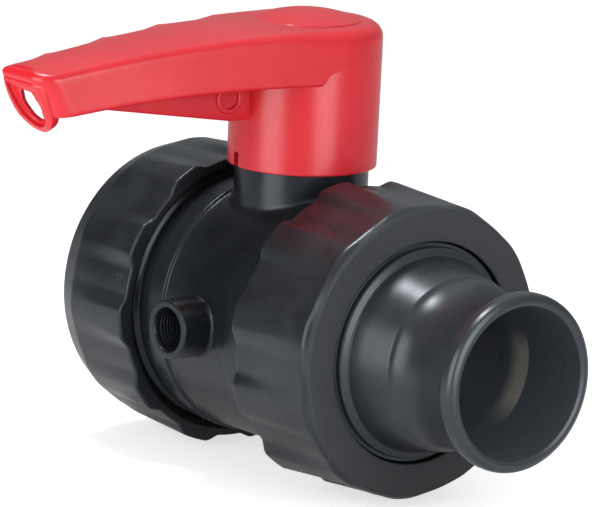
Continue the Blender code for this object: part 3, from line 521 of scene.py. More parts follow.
def red_plastic():
    """Moulded red: a deeper red drifting through it, a fine orange-peel relief and a soft gloss."""
    paint = Paint(bpy.data.materials.new("lever_red"))
    drift = paint.ramp(paint.noise(30.0, 3.0), 0.3, 0.7)
    speck = paint.noise(0.6, 2.0, 0.6)
    colour = paint.blend(drift, (0.565, 0.0105, 0.0190), (0.615, 0.0160, 0.026))
    colour = paint.blend(paint.ramp(speck, 0.58, 0.8) * 0.35, colour, (0.70, 0.08, 0.085))
    gloss = 0.30 + 0.14 * (paint.noise(8.0, 4.0, 0.6) - 0.5) + 0.08 * (speck - 0.5)
    relief = paint.bump(paint.noise(0.6, 2.0, 0.6), 0.10, 0.05)
    relief = paint.bump(paint.noise(12.0, 2.0), 0.12, 0.3, relief)
    paint.set(Specular_IOR_Level=0.5)
    return paint.set(Base_Color=colour, Roughness=gloss, Normal=relief)


def plain_plastic(name, low, high, rough, lump, grain):
    """A small hidden piece: two near tones drifting, with a slight grain."""
    paint = Paint(bpy.data.materials.new(name))
    drift = paint.ramp(paint.noise(lump, 3.0), 0.3, 0.7)
    gloss = rough + 0.15 * (paint.noise(lump * 0.4, 3.0) - 0.5)
    relief = paint.bump(paint.noise(0.4, 2.0), grain, 0.04)
    return paint.set(Base_Color=paint.blend(drift, low, high), Roughness=gloss, Normal=relief)


# Finishes: the record's slot and the material
BODY_BLACK = black_plastic("body_black", (0.0075, 0.0088, 0.0108), (0.013, 0.0150, 0.0182), 0.27, 0.22,
                           0.36)
SPIGOT_BLACK = black_plastic("spigot_black", (0.016, 0.018, 0.021), (0.025, 0.028, 0.032), 0.30, 0.35, 0.50,
                             RIM_BORE + 0.2)
BALL_COLOURS = (0.34, 0.34, 0.33), (0.45, 0.45, 0.44)
SEAT_COLOURS = (0.72, 0.72, 0.70), (0.80, 0.80, 0.78)
RUBBER_COLOURS = (0.010, 0.010, 0.010), (0.020, 0.020, 0.020)
BODY = ("black_plastic", BODY_BLACK)
SPIGOT = ("black_plastic", SPIGOT_BLACK)
NUT = ("black_nut_plastic", nut_plastic())
RED = ("red_plastic", red_plastic())
BALL = ("grey_ball", plain_plastic("ball_grey", *BALL_COLOURS, 0.3, 14.0, 0.1))
SEAT = ("white_seat", plain_plastic("seat_white", *SEAT_COLOURS, 0.4, 6.0, 0.1))
RUBBER = ("seal_rubber", plain_plastic("seal_rubber", *RUBBER_COLOURS, 0.55, 4.0, 0.2))


def thread_ridge(along, turn, side):
    """A trapezoid wave of the place along the screw, less the turn: 1 on the ridge and 0 in the groove.
    One turn to the right carries the ridge one pitch along."""
    ridge, flank = 0.28, 0.17
    phase = np.mod(along / THREAD_PITCH - side * turn / TURN, 1.0)
    rise = np.clip((phase - 1.0 + flank) / flank, 0.0, 1.0)
    fall = np.clip((ridge + flank - phase) / flank, 0.0, 1.0)
    return np.maximum(rise, fall)


def barrel_end(side, count):
    """From the middle of the barrel out to the end face of the body: a step up to the ring, a step down
    to the relief, the union thread, faded at both ends, and a chamfer."""
    start = [(0.0, BARREL_RADIUS), (RING_FOOT, BARREL_RADIUS), (RING_FOOT + RING_SLOPE, RING_RADIUS),
             (RING_END, RING_RADIUS), (RING_END, RELIEF_RADIUS), (THREAD_START - 0.4, RELIEF_RADIUS)]
    start = soft(start, [0.0, 0.7, 0.45, 0.45, 0.5, 0.0], closed=False)[1:]
    along = np.linspace(THREAD_START, THREAD_END, 90)
    fade = ease((along - THREAD_START) / 4.0) * ease((THREAD_END + 0.6 - along) / 2.5)
    out = THREAD_FOOT + (THREAD_TOP - THREAD_FOOT) * fade * thread_ridge(along, around(count), side)
    end = [(THREAD_END + 0.8, THREAD_FOOT - 0.1)]
    path = np.concatenate([spread(start, count), stack(along, out), spread(end, count)], axis=1)
    return path * (side, 1.0)


def make_barrel():
    """The body's bore and skin turned as one ring: outside as barrel_end on both sides, and inside the
    ball's chamber with the seat pocket and its groove at the inlet and the carrier's bore at the
    outlet."""
    count = 288
    pocket, pocket_radius, chamber = SEAT_BACK + GAP, SEAT_RADIUS + GAP, SEAT_FRONT + GAP
    low, high, deep = SEAT_RING - GROOVE, SEAT_RING + GROOVE, pocket + 2.0 * GROOVE
    inside = [(-BODY_END, END_RADIUS), (-BODY_END, FLOW_RADIUS), (-pocket, FLOW_RADIUS), (-pocket, low),
              (-deep, low), (-deep, high), (-pocket, high), (-pocket, pocket_radius),
              (-chamber, pocket_radius), (-chamber, CHAMBER_RADIUS), (CARRIER_STEP, CHAMBER_RADIUS),
              (CARRIER_STEP, CARRIER_BORE), (BODY_END, CARRIER_BORE), (BODY_END, END_RADIUS)]
    inside = soft(inside, [0.5] * 2 + [0.3] * 7 + [1.5, 0.5, 0.3, 0.6, 0.5], closed=False)
    inlet, outlet = barrel_end(-1.0, count), barrel_end(1.0, count)
    outline = np.concatenate([spread(inside, count), outlet[:, ::-1], inlet], axis=1)
    skin("body_barrel", turned(outline, count), "body", BODY, ["valve_body"])


def barrel_height(aside):
    """How far the barrel's round stands from its axis at an offset: the root of the radius's square less
    the offset's."""
    return np.sqrt(BARREL_RADIUS**2 - aside**2)


def make_neck():
    """The stem's neck: a cylinder that meets the barrel in a swept fillet, a parabola between a foot on
    the barrel's round and a start up the wall, wide along the flow and tight across it; then the top and
    the stem's bore. The root lies hidden in the barrel's wall."""
    count = 288
    turn = around(count)
    across = np.abs(np.sin(turn))
    foot = NECK_RADIUS + NECK_FILLET + NECK_FILLET_WIDER * (1.0 - across) ** 1.5
    tall = NECK_FILLET + NECK_FILLET_TALLER * (1.0 - across)
    foot_z = barrel_height(foot * np.sin(turn)) - 0.02
    corner_z = barrel_height(NECK_RADIUS * np.sin(turn))
    rise = swept(foot_z, corner_z, corner_z + tall, 15)
    fillet = stack(rise, swept(foot, NECK_RADIUS, NECK_RADIUS, 15))
    root = stack(np.minimum(foot_z - 2.5, 40.0), foot - 0.6)
    inner = stack(np.minimum(foot_z - 4.0, STEM_BORE_LOW), STEM_BORE + 3.0)
    top = soft([(NECK_STRAIGHT, NECK_RADIUS), (NECK_TOP, NECK_RADIUS), (NECK_TOP, STEM_BORE),
                (STEM_BORE_LOW, STEM_BORE)], [0.0, 0.7, 0.6, 0.0], closed=False)
    climb = np.linspace(0.12, 0.88, 6)[:, None]
    wall = fillet[:, -1:] + (np.array((NECK_STRAIGHT, NECK_RADIUS)) - fillet[:, -1:]) * climb
    outline = np.concatenate([inner, root, fillet, wall, spread(top, count)], axis=1)
    skin("body_neck", turned(outline, count, upright=True), "body", BODY)


def make_port():
    """The side port: a boss standing on the barrel's round with a small fillet, a rounded mouth and a
    fine screw thread of a cosine's form down a blind hole. Its back lies hidden in the barrel's wall."""
    count = 192
    turn = around(count)
    across, up = np.cos(turn), np.sin(turn)
    foot = PORT_RADIUS + PORT_FILLET
    foot_y = barrel_height(foot * up) - 0.03
    corner_y = barrel_height(PORT_RADIUS * up)
    rise = swept(foot_y, corner_y, corner_y + PORT_FILLET, 9)
    fillet = stack(rise, swept(foot, PORT_RADIUS, PORT_RADIUS, 9))
    mouth = [(PORT_STRAIGHT, PORT_RADIUS), (PORT_FACE, PORT_RADIUS - 0.15), (PORT_FACE, PORT_HOLE + 0.6),
             (PORT_FACE - 1.1, PORT_HOLE + 0.2)]
    mouth = soft(mouth, [0.0, 0.8, 0.35, 0.0], closed=False)
    start, end = PORT_FACE - 1.3, PORT_FLOOR + 1.5
    deep = np.linspace(start, end, 80)
    wave = 0.5 + 0.5 * np.cos(TURN * (deep / PORT_PITCH - turn / TURN))
    fade = ease(start - deep) * ease((deep - end) / 2.0)
    bore = stack(deep, PORT_HOLE + 0.15 + PORT_THREAD * (1.0 - wave) * fade)
    floor = [(PORT_FLOOR + 1.2, PORT_HOLE), (PORT_FLOOR, PORT_HOLE), (PORT_FLOOR, 0.0)]
    floor = soft(floor, [0.0, 0.4, 0.0], closed=False)
    back = stack(np.full_like(turn, PORT_BACK), np.zeros_like(turn))
    edge = stack(np.minimum(foot_y - 1.0, PORT_BACK + 2.0), foot - 1.2)
    outline = np.concatenate([back, edge, fillet, spread(mouth, count), bore, spread(floor, count)], axis=1)
    points = stack(outline[..., 1] * across, -outline[..., 0], outline[..., 1] * up)
    skin("body_side_port", points, "body", BODY, wrap=(True, False), weld=True)


def make_nut(name, side, lead, body, node, length, bevel, step):
    """A lobed union nut. Its outer radius falls in a straight taper to the rim and by step over the
    bevel, and eleven hollows lie between eleven crests: the hollow's share eases from 0 on the crest to 1
    over a flank that widens towards the rim. The bore carries the ridge that fills the groove of the
    body's thread."""
    count = 44 * LOBES
    turn = around(count)
    rim = length - bevel
    cell = np.abs(np.mod((turn - lead) * LOBES / TURN + 0.5, 1.0) - 0.5)

    def outside(along):
        """The outer radius at a place along the nut, for each angle."""
        reach = np.asarray(along, float) / rim
        crest, flank = CREST - CREST_LOSS * reach, FLANK + FLANK_GAIN * reach
        hollow = ease((cell - crest + 0.5 * flank) / flank)
        depth = LOBE_DEPTH + (LOBE_DEPTH_AT_RIM - LOBE_DEPTH) * reach
        return NUT_RADIUS - NUT_TAPER * reach - depth * hollow

    def path(*places):
        """The points of an outline whose radii may change with the angle."""
        columns = [stack(np.full_like(turn, along), out) for along, out in places]
        return np.concatenate(columns, axis=1)

    mouth = path((NUT_THREAD_START - 0.4, NUT_BORE), (NUT_CHAMFER, NUT_BORE), (0.0, NUT_BORE + NUT_CHAMFER),
                 (0.0, outside(0.0)), (5.0, outside(5.0)))
    mouth = soft(mouth, [0.0, 0.2, 0.4, 1.1, 0.0], closed=False)
    along = np.linspace(7.0, rim - 4.4, 14)
    wall = stack(along, outside(along[None, :]))
    front = path((rim - 2.8, outside(rim - 2.8)), (rim, outside(rim)),
                 (length, NUT_RADIUS - NUT_TAPER - step), (length, NUT_OPENING),
                 (NUT_SHOULDER, NUT_OPENING), (NUT_SHOULDER, NUT_BORE),
                 (NUT_THREAD_END + 0.6, NUT_BORE))
    front = soft(front, [0.0, 1.0, 0.8, 0.6, 0.3, 0.4, 0.0], closed=False)
    along = np.linspace(NUT_THREAD_END, NUT_THREAD_START, 90)
    groove_middle, half_ridge, flank = 0.64, 0.33, 0.16
    phase = np.mod((along + NUT_START) / THREAD_PITCH - side * turn / TURN - groove_middle + 0.5, 1.0) - 0.5
    ridge = np.clip((half_ridge - np.abs(phase)) / flank, 0.0, 1.0)
    ridge = ridge * ease((NUT_THREAD_END - 1.0 - along) / 6.0) * ease((along - NUT_THREAD_START) / 4.0)
    thread = stack(along, NUT_BORE - (NUT_BORE - NUT_THREAD_TOP) * ridge)
    outline = (np.concatenate([mouth, wall, front, thread], axis=1) + (NUT_START, 0.0)) * (side, 1.0)
    skin(name, turned(outline, count), body, NUT, [node])


def make_gate(name, along, swing, radius, body):
    """The mark of a moulding gate on a nut: a low ring with a dimple, an outline of (out, rise) pairs
    turned about the line square to the nut's wall."""
    count = 40
    turn = around(count)
    outline = spread([(0.0, -0.2), (0.4, -0.12), (0.7, 0.2), (1.0, 0.42), (1.3, 0.4), (1.55, 0.2),
                      (1.75, -0.05), (1.75, -0.9), (0.0, -0.9)], count)
    out, height = outline[..., 0], radius + outline[..., 1]
    x, aside = along + out * np.cos(turn), out * np.sin(turn)
    y = -height * math.sin(swing) + aside * math.cos(swing)
    z = height * math.cos(swing) + aside * math.sin(swing)
    skin(name, stack(x, y, z), body, NUT, wrap=(True, False), weld=True)


def fitting_back(land):
    """The hidden end of a union fitting, eased: from its flow bore over the face with the seal's groove
    and the flange to the radius land."""
    low, high, deep = FACE_SEAL - GROOVE, FACE_SEAL + GROOVE, FLANGE_BACK + 2.0 * GROOVE
    corners = [(FLANGE_BACK, FLOW_RADIUS), (FLANGE_BACK, low), (deep, low), (deep, high),
               (FLANGE_BACK, high), (FLANGE_BACK, FLANGE_RADIUS), (FLANGE_FRONT, FLANGE_RADIUS),
               (FLANGE_FRONT, land)]
    return soft(corners, [0.3] * 6 + [0.5, 0.5], closed=False)


def make_spigot():
    """The pipe end: flange, collar, a cone down to a shoulder, a waist that sags by a sine between
    shoulder and rim and eases into the rounded rim, and a tapered bore with a step cone deep inside."""
    land = COLLAR_RADIUS + LAND
    share = np.linspace(0.02, 0.98, 34)
    along = WAIST_START + WAIST_LENGTH * share
    out = WAIST_RADIUS + (RIM_RADIUS - WAIST_RADIUS) * share - WAIST_SAG * np.sin(math.pi * share**0.72)
    out = out + (RIM_RADIUS - out) * ease((along - FLARE_START) / FLARE_LENGTH)
    cone = [(FLANGE_FRONT + 1.0, land), (LAND_END, land), (LAND_END, COLLAR_RADIUS),
            (COLLAR_END, COLLAR_RADIUS), (CONE_START, CONE_RADIUS), (CONE_END, CONE_END_RADIUS),
            (along[0], out[0])]
    cone = soft(cone, [0.0, 0.4, 0.3, 0.7, 0.5, 0.4, 0.0], closed=False)
    mouth = [(along[-1], out[-1]), (SPIGOT_END - 2.7, RIM_RADIUS), (SPIGOT_END - 0.9, RIM_RADIUS - 0.5),
             (SPIGOT_END, RIM_RADIUS - 2.1), (SPIGOT_END, RIM_BORE + 1.2), (SPIGOT_END - 0.7, RIM_BORE),
             (STEP_CONE_END, STEP_CONE_RADIUS), (STEP_CONE_START, FLOW_RADIUS), (70.0, FLOW_RADIUS)]
    mouth = soft(mouth, [0.0, 0.5, 0.5, 0.4, 0.3, 0.3, 0.3, 0.5, 0.0], closed=False)
    outline = np.concatenate([fitting_back(land), cone, stack(along, out)[1:-1], mouth])
    skin("spigot", turned(outline, 256), "outlet_end", SPIGOT, ["outlet_spigot"])


def make_inlet():
    """The inlet socket: flange and collar, with a parallel pipe thread of a cosine's form in the mouth."""
    count = 192
    front = [(FLANGE_FRONT + 1.0, COLLAR_RADIUS), (INLET_REACH, COLLAR_RADIUS),
             (INLET_REACH, SOCKET_RADIUS + 2.0), (INLET_REACH - 1.0, SOCKET_RADIUS + 0.8)]
    front = soft(front, [0.0, 1.0, 0.3, 0.0], closed=False)
    start, end = INLET_REACH - 1.2, SOCKET_FLOOR + 1.5
    deep = np.linspace(start, end, 70)
    wave = 0.5 + 0.5 * np.cos(TURN * (deep / SOCKET_PITCH + around(count) / TURN))
    fade = ease((start - deep) / 1.5 + 0.3) * ease((deep - end + 0.2) / 3.0)
    thread = stack(deep, SOCKET_RADIUS + 0.2 + SOCKET_THREAD * (1.0 - wave) * fade)
    foot = [(SOCKET_FLOOR + 1.0, SOCKET_RADIUS), (SOCKET_FLOOR, SOCKET_RADIUS), (SOCKET_FLOOR, FLOW_RADIUS),
            (SOCKET_FLOOR - 2.0, FLOW_RADIUS)]
    foot = soft(foot, [0.0, 0.3, 0.3, 0.0], closed=False)
    back, front, foot = (spread(path, count) for path in (fitting_back(COLLAR_RADIUS), front, foot))
    outline = np.concatenate([back, front, thread, foot], axis=1) * (-1.0, 1.0)
    skin("inlet_socket", turned(outline, count), "inlet_end", BODY, ["inlet_connector"])


def make_ring(name, along, radius, body, node, upright=False):
    """A rubber ring: a small circle carried round a large one."""
    small = np.linspace(0.0, TURN, 20, endpoint=False)
    outline = stack(along + SEAL * np.cos(small), radius + SEAL * np.sin(small))
    skin(name, turned(outline, 128, upright), body, RUBBER, [node])


def make_inside():
    """The ball with its bore across the flow, its two seats on a slightly larger sphere, the washer and
    the rubber rings."""
    bend = np.arcsin(FLOW_RADIUS / BALL_RADIUS)
    swing = np.linspace(bend + 0.02, math.pi - bend - 0.02, 60)
    round_part = stack(BALL_RADIUS * np.cos(swing), BALL_RADIUS * np.sin(swing))
    bore = [(-BALL_MOUTH, FLOW_RADIUS + 0.3), (0.7 - BALL_MOUTH, FLOW_RADIUS),
            (BALL_MOUTH - 0.7, FLOW_RADIUS), (BALL_MOUTH, FLOW_RADIUS + 0.3)]
    bore = soft(bore, [0.0, 0.3, 0.3, 0.0], closed=False)
    ball = turned(np.concatenate([round_part, bore]), 128)
    skin("ball_skin", ball[..., [1, 0, 2]], "operator", BALL, ["ball"])
    sphere = BALL_RADIUS + GAP
    swing = np.linspace(math.asin(SEAT_CUP / sphere), math.asin(SEAT_BORE / sphere), 10)
    cup = stack(sphere * np.cos(swing), sphere * np.sin(swing))
    back = [cup[-1], (SEAT_BACK, SEAT_BORE), (SEAT_BACK, SEAT_RADIUS), (SEAT_FRONT, SEAT_RADIUS), cup[0]]
    back = soft(back, [0.0, 0.3, 0.3, 0.3, 0.0], closed=False)
    seat = np.concatenate([cup, back[1:-1]])
    skin("outlet_seat", turned(seat, 128), "body", SEAT, ["outlet_ball_seat"])
    skin("inlet_seat", turned(seat * (-1.0, 1.0), 128), "body", SEAT, ["inlet_ball_seat"])
    washer = soft([(WASHER_LOW, STEM_BORE), (WASHER_LOW, WASHER_RADIUS), (WASHER_HIGH, WASHER_RADIUS),
                   (WASHER_HIGH, STEM_BORE)], 0.2)
    skin("thrust_washer", turned(washer, 96, upright=True), "body", SEAT, ["stem_thrust_washer"])
    seat_ring_at, face_ring_at = SEAT_BACK + GAP + GROOVE, FLANGE_BACK + GROOVE
    make_ring("inlet_seat_ring", -seat_ring_at, SEAT_RING, "body", "inlet_seat_o_ring")
    make_ring("outlet_seat_ring", seat_ring_at, SEAT_RING, "body", "outlet_seat_o_ring")
    make_ring("carrier_ring", CARRIER_SEAL_AT, CARRIER_BORE - GROOVE, "body", "carrier_o_ring")
    make_ring("inlet_face_ring", -face_ring_at, FACE_SEAL, "inlet_end", "inlet_face_o_ring")
    make_ring("outlet_face_ring", face_ring_at, FACE_SEAL, "outlet_end", "outlet_face_o_ring")
    groove = STEM_BORE - GROOVE
    make_ring("stem_ring_lower", STEM_SEAL_LOW, groove, "operator", "stem_o_ring_lower", upright=True)
    make_ring("stem_ring_upper", STEM_SEAL_HIGH, groove, "operator", "stem_o_ring_upper", upright=True)


# The lever's sides lean in towards the tip by LEAN and touch the hub's round at the reach TANGENT
LEAN = math.asin(SHELL_RADIUS / math.hypot(TIP_HALF, REACH)) - math.atan2(TIP_HALF, REACH)
TANGENT = SHELL_RADIUS * math.sin(LEAN)


def lever_top(reach):
    """The lever's top line: level at the hub, falling by the square of the reach."""
    return HUB_TOP - TIP_DROP * np.clip(reach / REACH, 0.0, 1.0) ** 2


def lever_side(reach):
    """How far the lever's side wall hangs below its top line."""
    return SIDE_AT_HUB + (SIDE_AT_TIP - SIDE_AT_HUB) * np.clip(reach / REACH, 0.0, 1.0)


def lever_half_width(reach):
    """Half the lever's width, a straight taper that touches the hub's round."""
    return (SHELL_RADIUS - reach * math.sin(LEAN)) / math.cos(LEAN)


def hub_radius(height):
    """The hub's outer radius, which grows by a slight draft from the skirt to the top."""
    return HUB_RADIUS + HUB_DRAFT * (height - SKIRT) / (HUB_TOP - SKIRT)


def make_hub():
    """The hub's tube, upright, with a slight draft, a rounded skirt edge and a narrow notch cut up from
    the skirt: the skirt's height jumps at the notch's two sides."""
    half = NOTCH_HALF / HUB_RADIUS
    angles = [np.linspace(-2.0 * half, -half - 0.004, 5), np.linspace(-half, half, 7),
              np.linspace(half + 0.004, 2.0 * half, 5), np.linspace(2.4 * half, TURN - 2.4 * half, 190)]
    off = np.concatenate(angles)[:, None]
    turn = NOTCH_TURN + off
    low = SKIRT + NOTCH_HEIGHT * (np.abs(off) <= half + 1e-6)
    top = np.full_like(turn, TUBE_TOP)
    inner = np.full_like(turn, HUB_INSIDE)
    corners = [stack(low, inner), stack(low, hub_radius(low)), stack(top, hub_radius(top)),
               stack(top, inner)]
    outline = soft(np.concatenate(corners, axis=1), [0.3, 0.5, 0.1, 0.3])
    along, out = outline[..., 0], outline[..., 1]
    points = stack(out * np.cos(turn), out * np.sin(turn), along)
    skin("handle_hub", points, "operator", RED, ["handle"])


def shell_half(rounding):
    """Half of the lever seen from above, from the tip round a corner, along a straight side and round the
    hub: x, the reach from the stem and the angle that the outward direction makes with X."""
    bend_reach = REACH - rounding
    bend_x = (SHELL_RADIUS - rounding - bend_reach * math.sin(LEAN)) / math.cos(LEAN)
    bend = np.linspace(0.5 * math.pi, LEAN, 19)[:-1]
    straight = np.linspace(bend_reach + rounding * math.sin(LEAN), TANGENT, 140)
    swing = np.linspace(LEAN, -0.5 * math.pi, 62)[1:]
    x = [bend_x + rounding * np.cos(bend), lever_half_width(straight), SHELL_RADIUS * np.cos(swing)]
    reach = [bend_reach + rounding * np.sin(bend), straight, SHELL_RADIUS * np.sin(swing)]
    angle = [bend, np.full_like(straight, LEAN), swing]
    return np.concatenate(x), np.concatenate(reach), np.concatenate(angle)


def shell_outline():
    """The whole outline of the lever from above: the near half, and the far half mirrored and followed
    back."""
    (x, reach, angle), (far_x, far_reach, far_angle) = shell_half(TIP_ROUND), shell_half(TIP_ROUND_FAR)
    x, reach = np.concatenate([x, -far_x[-2::-1]]), np.concatenate([reach, far_reach[-2::-1]])
    angle = np.concatenate([angle, math.pi - far_angle[-2::-1]])
    return x[:, None], reach[:, None], np.cos(angle)[:, None], np.sin(angle)[:, None]


def crown(x, reach):
    """The lever's cross-wise crown, a parabola that dies away towards the hub, whose top is flat."""
    half = lever_half_width(np.maximum(reach, 0.0))
    grown = 1.0 - ease((CROWN_START - reach) / CROWN_START)
    return CROWN * grown * np.clip(1.0 - (x / half) ** 2, 0.0, 1.0)


def make_lever():
    """The lever and the hub's cap as one channel. Each row of the grid goes from the middle line out over
    the crowned top, round a fillet, down the side wall, round its lower edge and back inside. Four finger
    hollows, each an arch of a sine, lower the far edge of the grip. The lower edge curls up at the hub,
    where the wall sinks into the hub's tube, and rises at the tip, which leans in under the top."""
    x, reach, out_x, out_reach = shell_outline()
    fillet = TIP_EDGE + (HUB_FILLET - TIP_EDGE) * ease((HUB_FILLET_END - reach) / HUB_FILLET_END)
    base = np.maximum(reach, TANGENT)
    low = lever_top(base) - lever_side(base) + EDGE_CURL * ease((CURL_END - base) / CURL_LENGTH)
    far_rise = FAR_EDGE_RISE * ease((reach - FAR_EDGE_START) / FAR_EDGE_LENGTH)
    low = low + np.where(x < 0.0, far_rise, 0.0)
    near_corner = ease((NEAR_CORNER - x) / NEAR_CORNER_LENGTH) * (out_reach > 0.4)
    corner = np.where(x < 0.0, ease((out_reach - 0.3) / 0.6), near_corner)
    low = low + (lever_top(base) - TIP_WALL - low) * corner
    stand = np.maximum(reach - TANGENT, 0.0) ** 2 / (2.0 * SHELL_RADIUS)
    sink = (0.5 + stand) * ease((SINK_END - reach) / SINK_LENGTH)
    grip = (x < 0.0) & (reach > FINGER)
    dip = np.where(grip, FINGER_DEPTH * np.abs(np.sin(math.pi * reach / FINGER)), 0.0)
    dip = dip * ease((REACH - 3.0 - reach) / 18.0)

    def layer(inset, drop):
        """One side of the channel wall: the top, the fillet and the wall, moved in by inset and down by
        drop."""
        size = np.maximum(fillet - inset, 0.4)
        edge_x, edge_reach = x - out_x * (inset + size), reach - out_reach * (inset + size)
        middle = np.maximum(edge_reach, TANGENT)
        share = np.linspace(0.0, 1.0, 15)[None, :]
        top_x = edge_x * share
        top_reach = middle + (edge_reach - middle) * share
        top_z = lever_top(np.maximum(top_reach, 0.0)) + crown(top_x, top_reach) - drop - dip * share**6
        swing = np.linspace(0.0, 0.5 * math.pi, 7)[None, 1:]
        round_x = edge_x + out_x * size * np.sin(swing)
        round_reach = edge_reach + out_reach * size * np.sin(swing)
        round_z = top_z[:, -1:] - size * (1.0 - np.cos(swing))
        down = np.linspace(0.0, 1.0, 13)[None, 1:]
        wall_z = round_z[:, -1:] + (low + 0.9 - round_z[:, -1:]) * down
        deep = inset + sink * ease((low + 2.6 - wall_z) / 2.6)
        wall_x, wall_reach = x - out_x * deep, reach - out_reach * deep
        return stack(np.concatenate([top_x, round_x, wall_x], axis=1),
                     np.concatenate([top_reach, round_reach, wall_reach], axis=1),
                     np.concatenate([top_z, round_z, wall_z], axis=1))

    outer, inner = layer(0.0, 0.0), layer(WALL, WALL)
    inset = np.array([0.25, 0.8, WALL - 0.8, WALL - 0.25])[None, :] + sink
    lift = np.array([0.3, 0.0, 0.0, 0.3])[None, :]
    edge = stack(x - out_x * inset, reach - out_reach * inset, low + lift)
    grid = np.concatenate([outer, edge, inner[:, ::-1]], axis=1)
    tilt = ease((grid[..., 1] - 0.55 * REACH) / (0.45 * REACH)) * math.tan(TIP_LEAN)
    y = -grid[..., 1] + tilt * np.clip(lever_top(grid[..., 1]) - grid[..., 2], 0.0, None)
    points = stack(grid[..., 0], y, grid[..., 2])
    skin("handle_lever", points, "operator", RED, wrap=(True, False), weld=True)


def make_pad():
    """The disc on the hub's top, turned about the stem: a domed face, a parabola of the radius, and a low
    step."""
    share = np.linspace(0.0, 0.985, 30)
    face = HUB_TOP + PAD_RISE
    dome = stack(face + PAD_DOME * (1.0 - share**2), PAD_RADIUS * share)
    step = [(face + 0.04, PAD_RADIUS - 0.1), (face - 0.12, PAD_RADIUS), (HUB_TOP - 1.5, PAD_RADIUS),
            (HUB_TOP - 1.5, 0.0)]
    points = turned(np.concatenate([dome, step]), 160, upright=True)
    skin("handle_pad", points, "operator", RED, wrap=(True, False), weld=True)


def make_web():
    """The web under the lever beside the hub: a bar along Y with an eased oblong section, whose lower
    edge is level at the hub and then rises in a straight line towards the tip, joined by a hyperbola; and
    the ring on it, turned about a line across the lever."""
    deep = float(lever_top(WEB_NEAR) - lever_side(WEB_NEAR)) - WEB_DROP
    level, bent, rising = (WEB_NEAR, 31.0, 6), (31.5, 38.0, 24), (40.0, WEB_FAR, 40)
    reach = np.concatenate([np.linspace(*stretch) for stretch in (level, bent, rising)])[:, None]
    rise = (float(lever_top(WEB_FAR) - lever_side(WEB_FAR)) - deep) / (WEB_FAR - WEB_BEND)
    past = reach - WEB_BEND
    low = deep + 0.5 * rise * (past + np.sqrt(past * past + 1.2))
    high = np.maximum(lever_top(reach) - 4.0, low + 2.0)
    side = np.array([-1.9, -2.4, -2.5, -2.5, -1.5, 1.5, 2.5, 2.5, 2.4, 1.9])[None, :]
    foot = np.array([0.0, 0.2, 0.7, 0.0, 0.0, 0.0, 0.0, 0.7, 0.2, 0.0])[None, :]
    top = np.array([0, 0, 0, 1, 1, 1, 1, 0, 0, 0])[None, :]
    section = stack(side, -reach, np.where(top > 0, high, low + foot))
    ends = [np.broadcast_to(line.mean(axis=0), line.shape)[None] for line in (section[0], section[-1])]
    points = np.concatenate([ends[0], section, ends[1]])
    skin("handle_web", points, "operator", RED, wrap=(False, True), weld=True)
    ring = soft([(-WEB_RING_HALF, WEB_RING_HOLE), (-WEB_RING_HALF, WEB_RING_RADIUS),
                 (WEB_RING_HALF, WEB_RING_RADIUS), (WEB_RING_HALF, WEB_RING_HOLE)], 0.5)
    points = turned(ring, 96) + (0.0, -WEB_RING_REACH, WEB_RING_HEIGHT)
    skin("handle_web_ring", points, "operator", RED)


def make_eye():
    """The tip's plate with its lanyard slot: rays from the slot's middle meet the slot and the plate's
    outline, and on each ray a rim, a recess and the slot's wall are drawn as one eased outline. The plate
    hangs in a curve: it goes in under the lever by a power of the drop, and its sides follow the tip's
    round corners."""
    turn = around(160)[:, 0]

    def reach_of(shape, centre):
        """How far a closed shape of (x, height) pairs lies from centre along each ray."""
        off = shape - centre
        angle = np.arctan2(off[:, 1], off[:, 0])
        order = np.argsort(angle)
        return np.interp(turn, angle[order], np.hypot(*off.T)[order], period=TURN)[:, None]

    centre = np.array((0.0, SLOT_MIDDLE))
    bend = np.linspace(math.pi, TURN, 60)
    low = stack(EYE_ROUND * np.cos(bend), EYE_ROUND * (1.0 + np.sin(bend)) - EYE_LENGTH)
    right = low[-1] + (np.array((EYE_HALF, 0.0)) - low[-1]) * np.linspace(0.0, 1.0, 30)[:, None]
    top = stack(np.linspace(EYE_HALF, -EYE_HALF, 30), 0.0)
    outer = np.concatenate([low, right[1:], top[1:], (right * (-1.0, 1.0))[::-1][1:-1]])
    end = np.linspace(0.0, math.pi, 40)
    cap = stack(SLOT_HALF * np.cos(end), SLOT_RISE + SLOT_HALF * np.sin(end))
    slot = np.concatenate([cap, -cap]) + centre + (SLOT_ASIDE, 0.0)
    far, near = reach_of(outer, centre), reach_of(slot, centre)
    rim = np.maximum(far - EYE_RIM, near + 0.5)
    corners = [stack(far, EYE_HALF_THICK), stack(far, -EYE_HALF_THICK), stack(rim, -EYE_HALF_THICK),
               stack(rim, EYE_FLOOR), stack(near, EYE_FLOOR), stack(near, EYE_HALF_THICK)]
    outline = soft(np.concatenate(corners, axis=1), 0.45)
    out, deep = outline[..., 0], outline[..., 1]
    x, height = out * np.cos(turn)[:, None], centre[1] + out * np.sin(turn)[:, None]
    hang = np.clip(-height / EYE_LENGTH, 0.0, 1.2)
    size = np.where(x > 0.0, TIP_ROUND, TIP_ROUND_FAR)
    round_off = size - np.sqrt(size**2 - np.clip(np.abs(x) - TIP_HALF + size, 0.0, 0.97 * size) ** 2)
    y = deep * math.cos(TIP_LEAN) + EYE_LENGTH * math.sin(TIP_LEAN) * hang**1.5 + round_off - EYE_REACH
    z = EYE_TOP + deep * math.sin(TIP_LEAN) + height * math.cos(TIP_LEAN)
    skin("handle_eye", stack(x, y, z), "operator", RED)


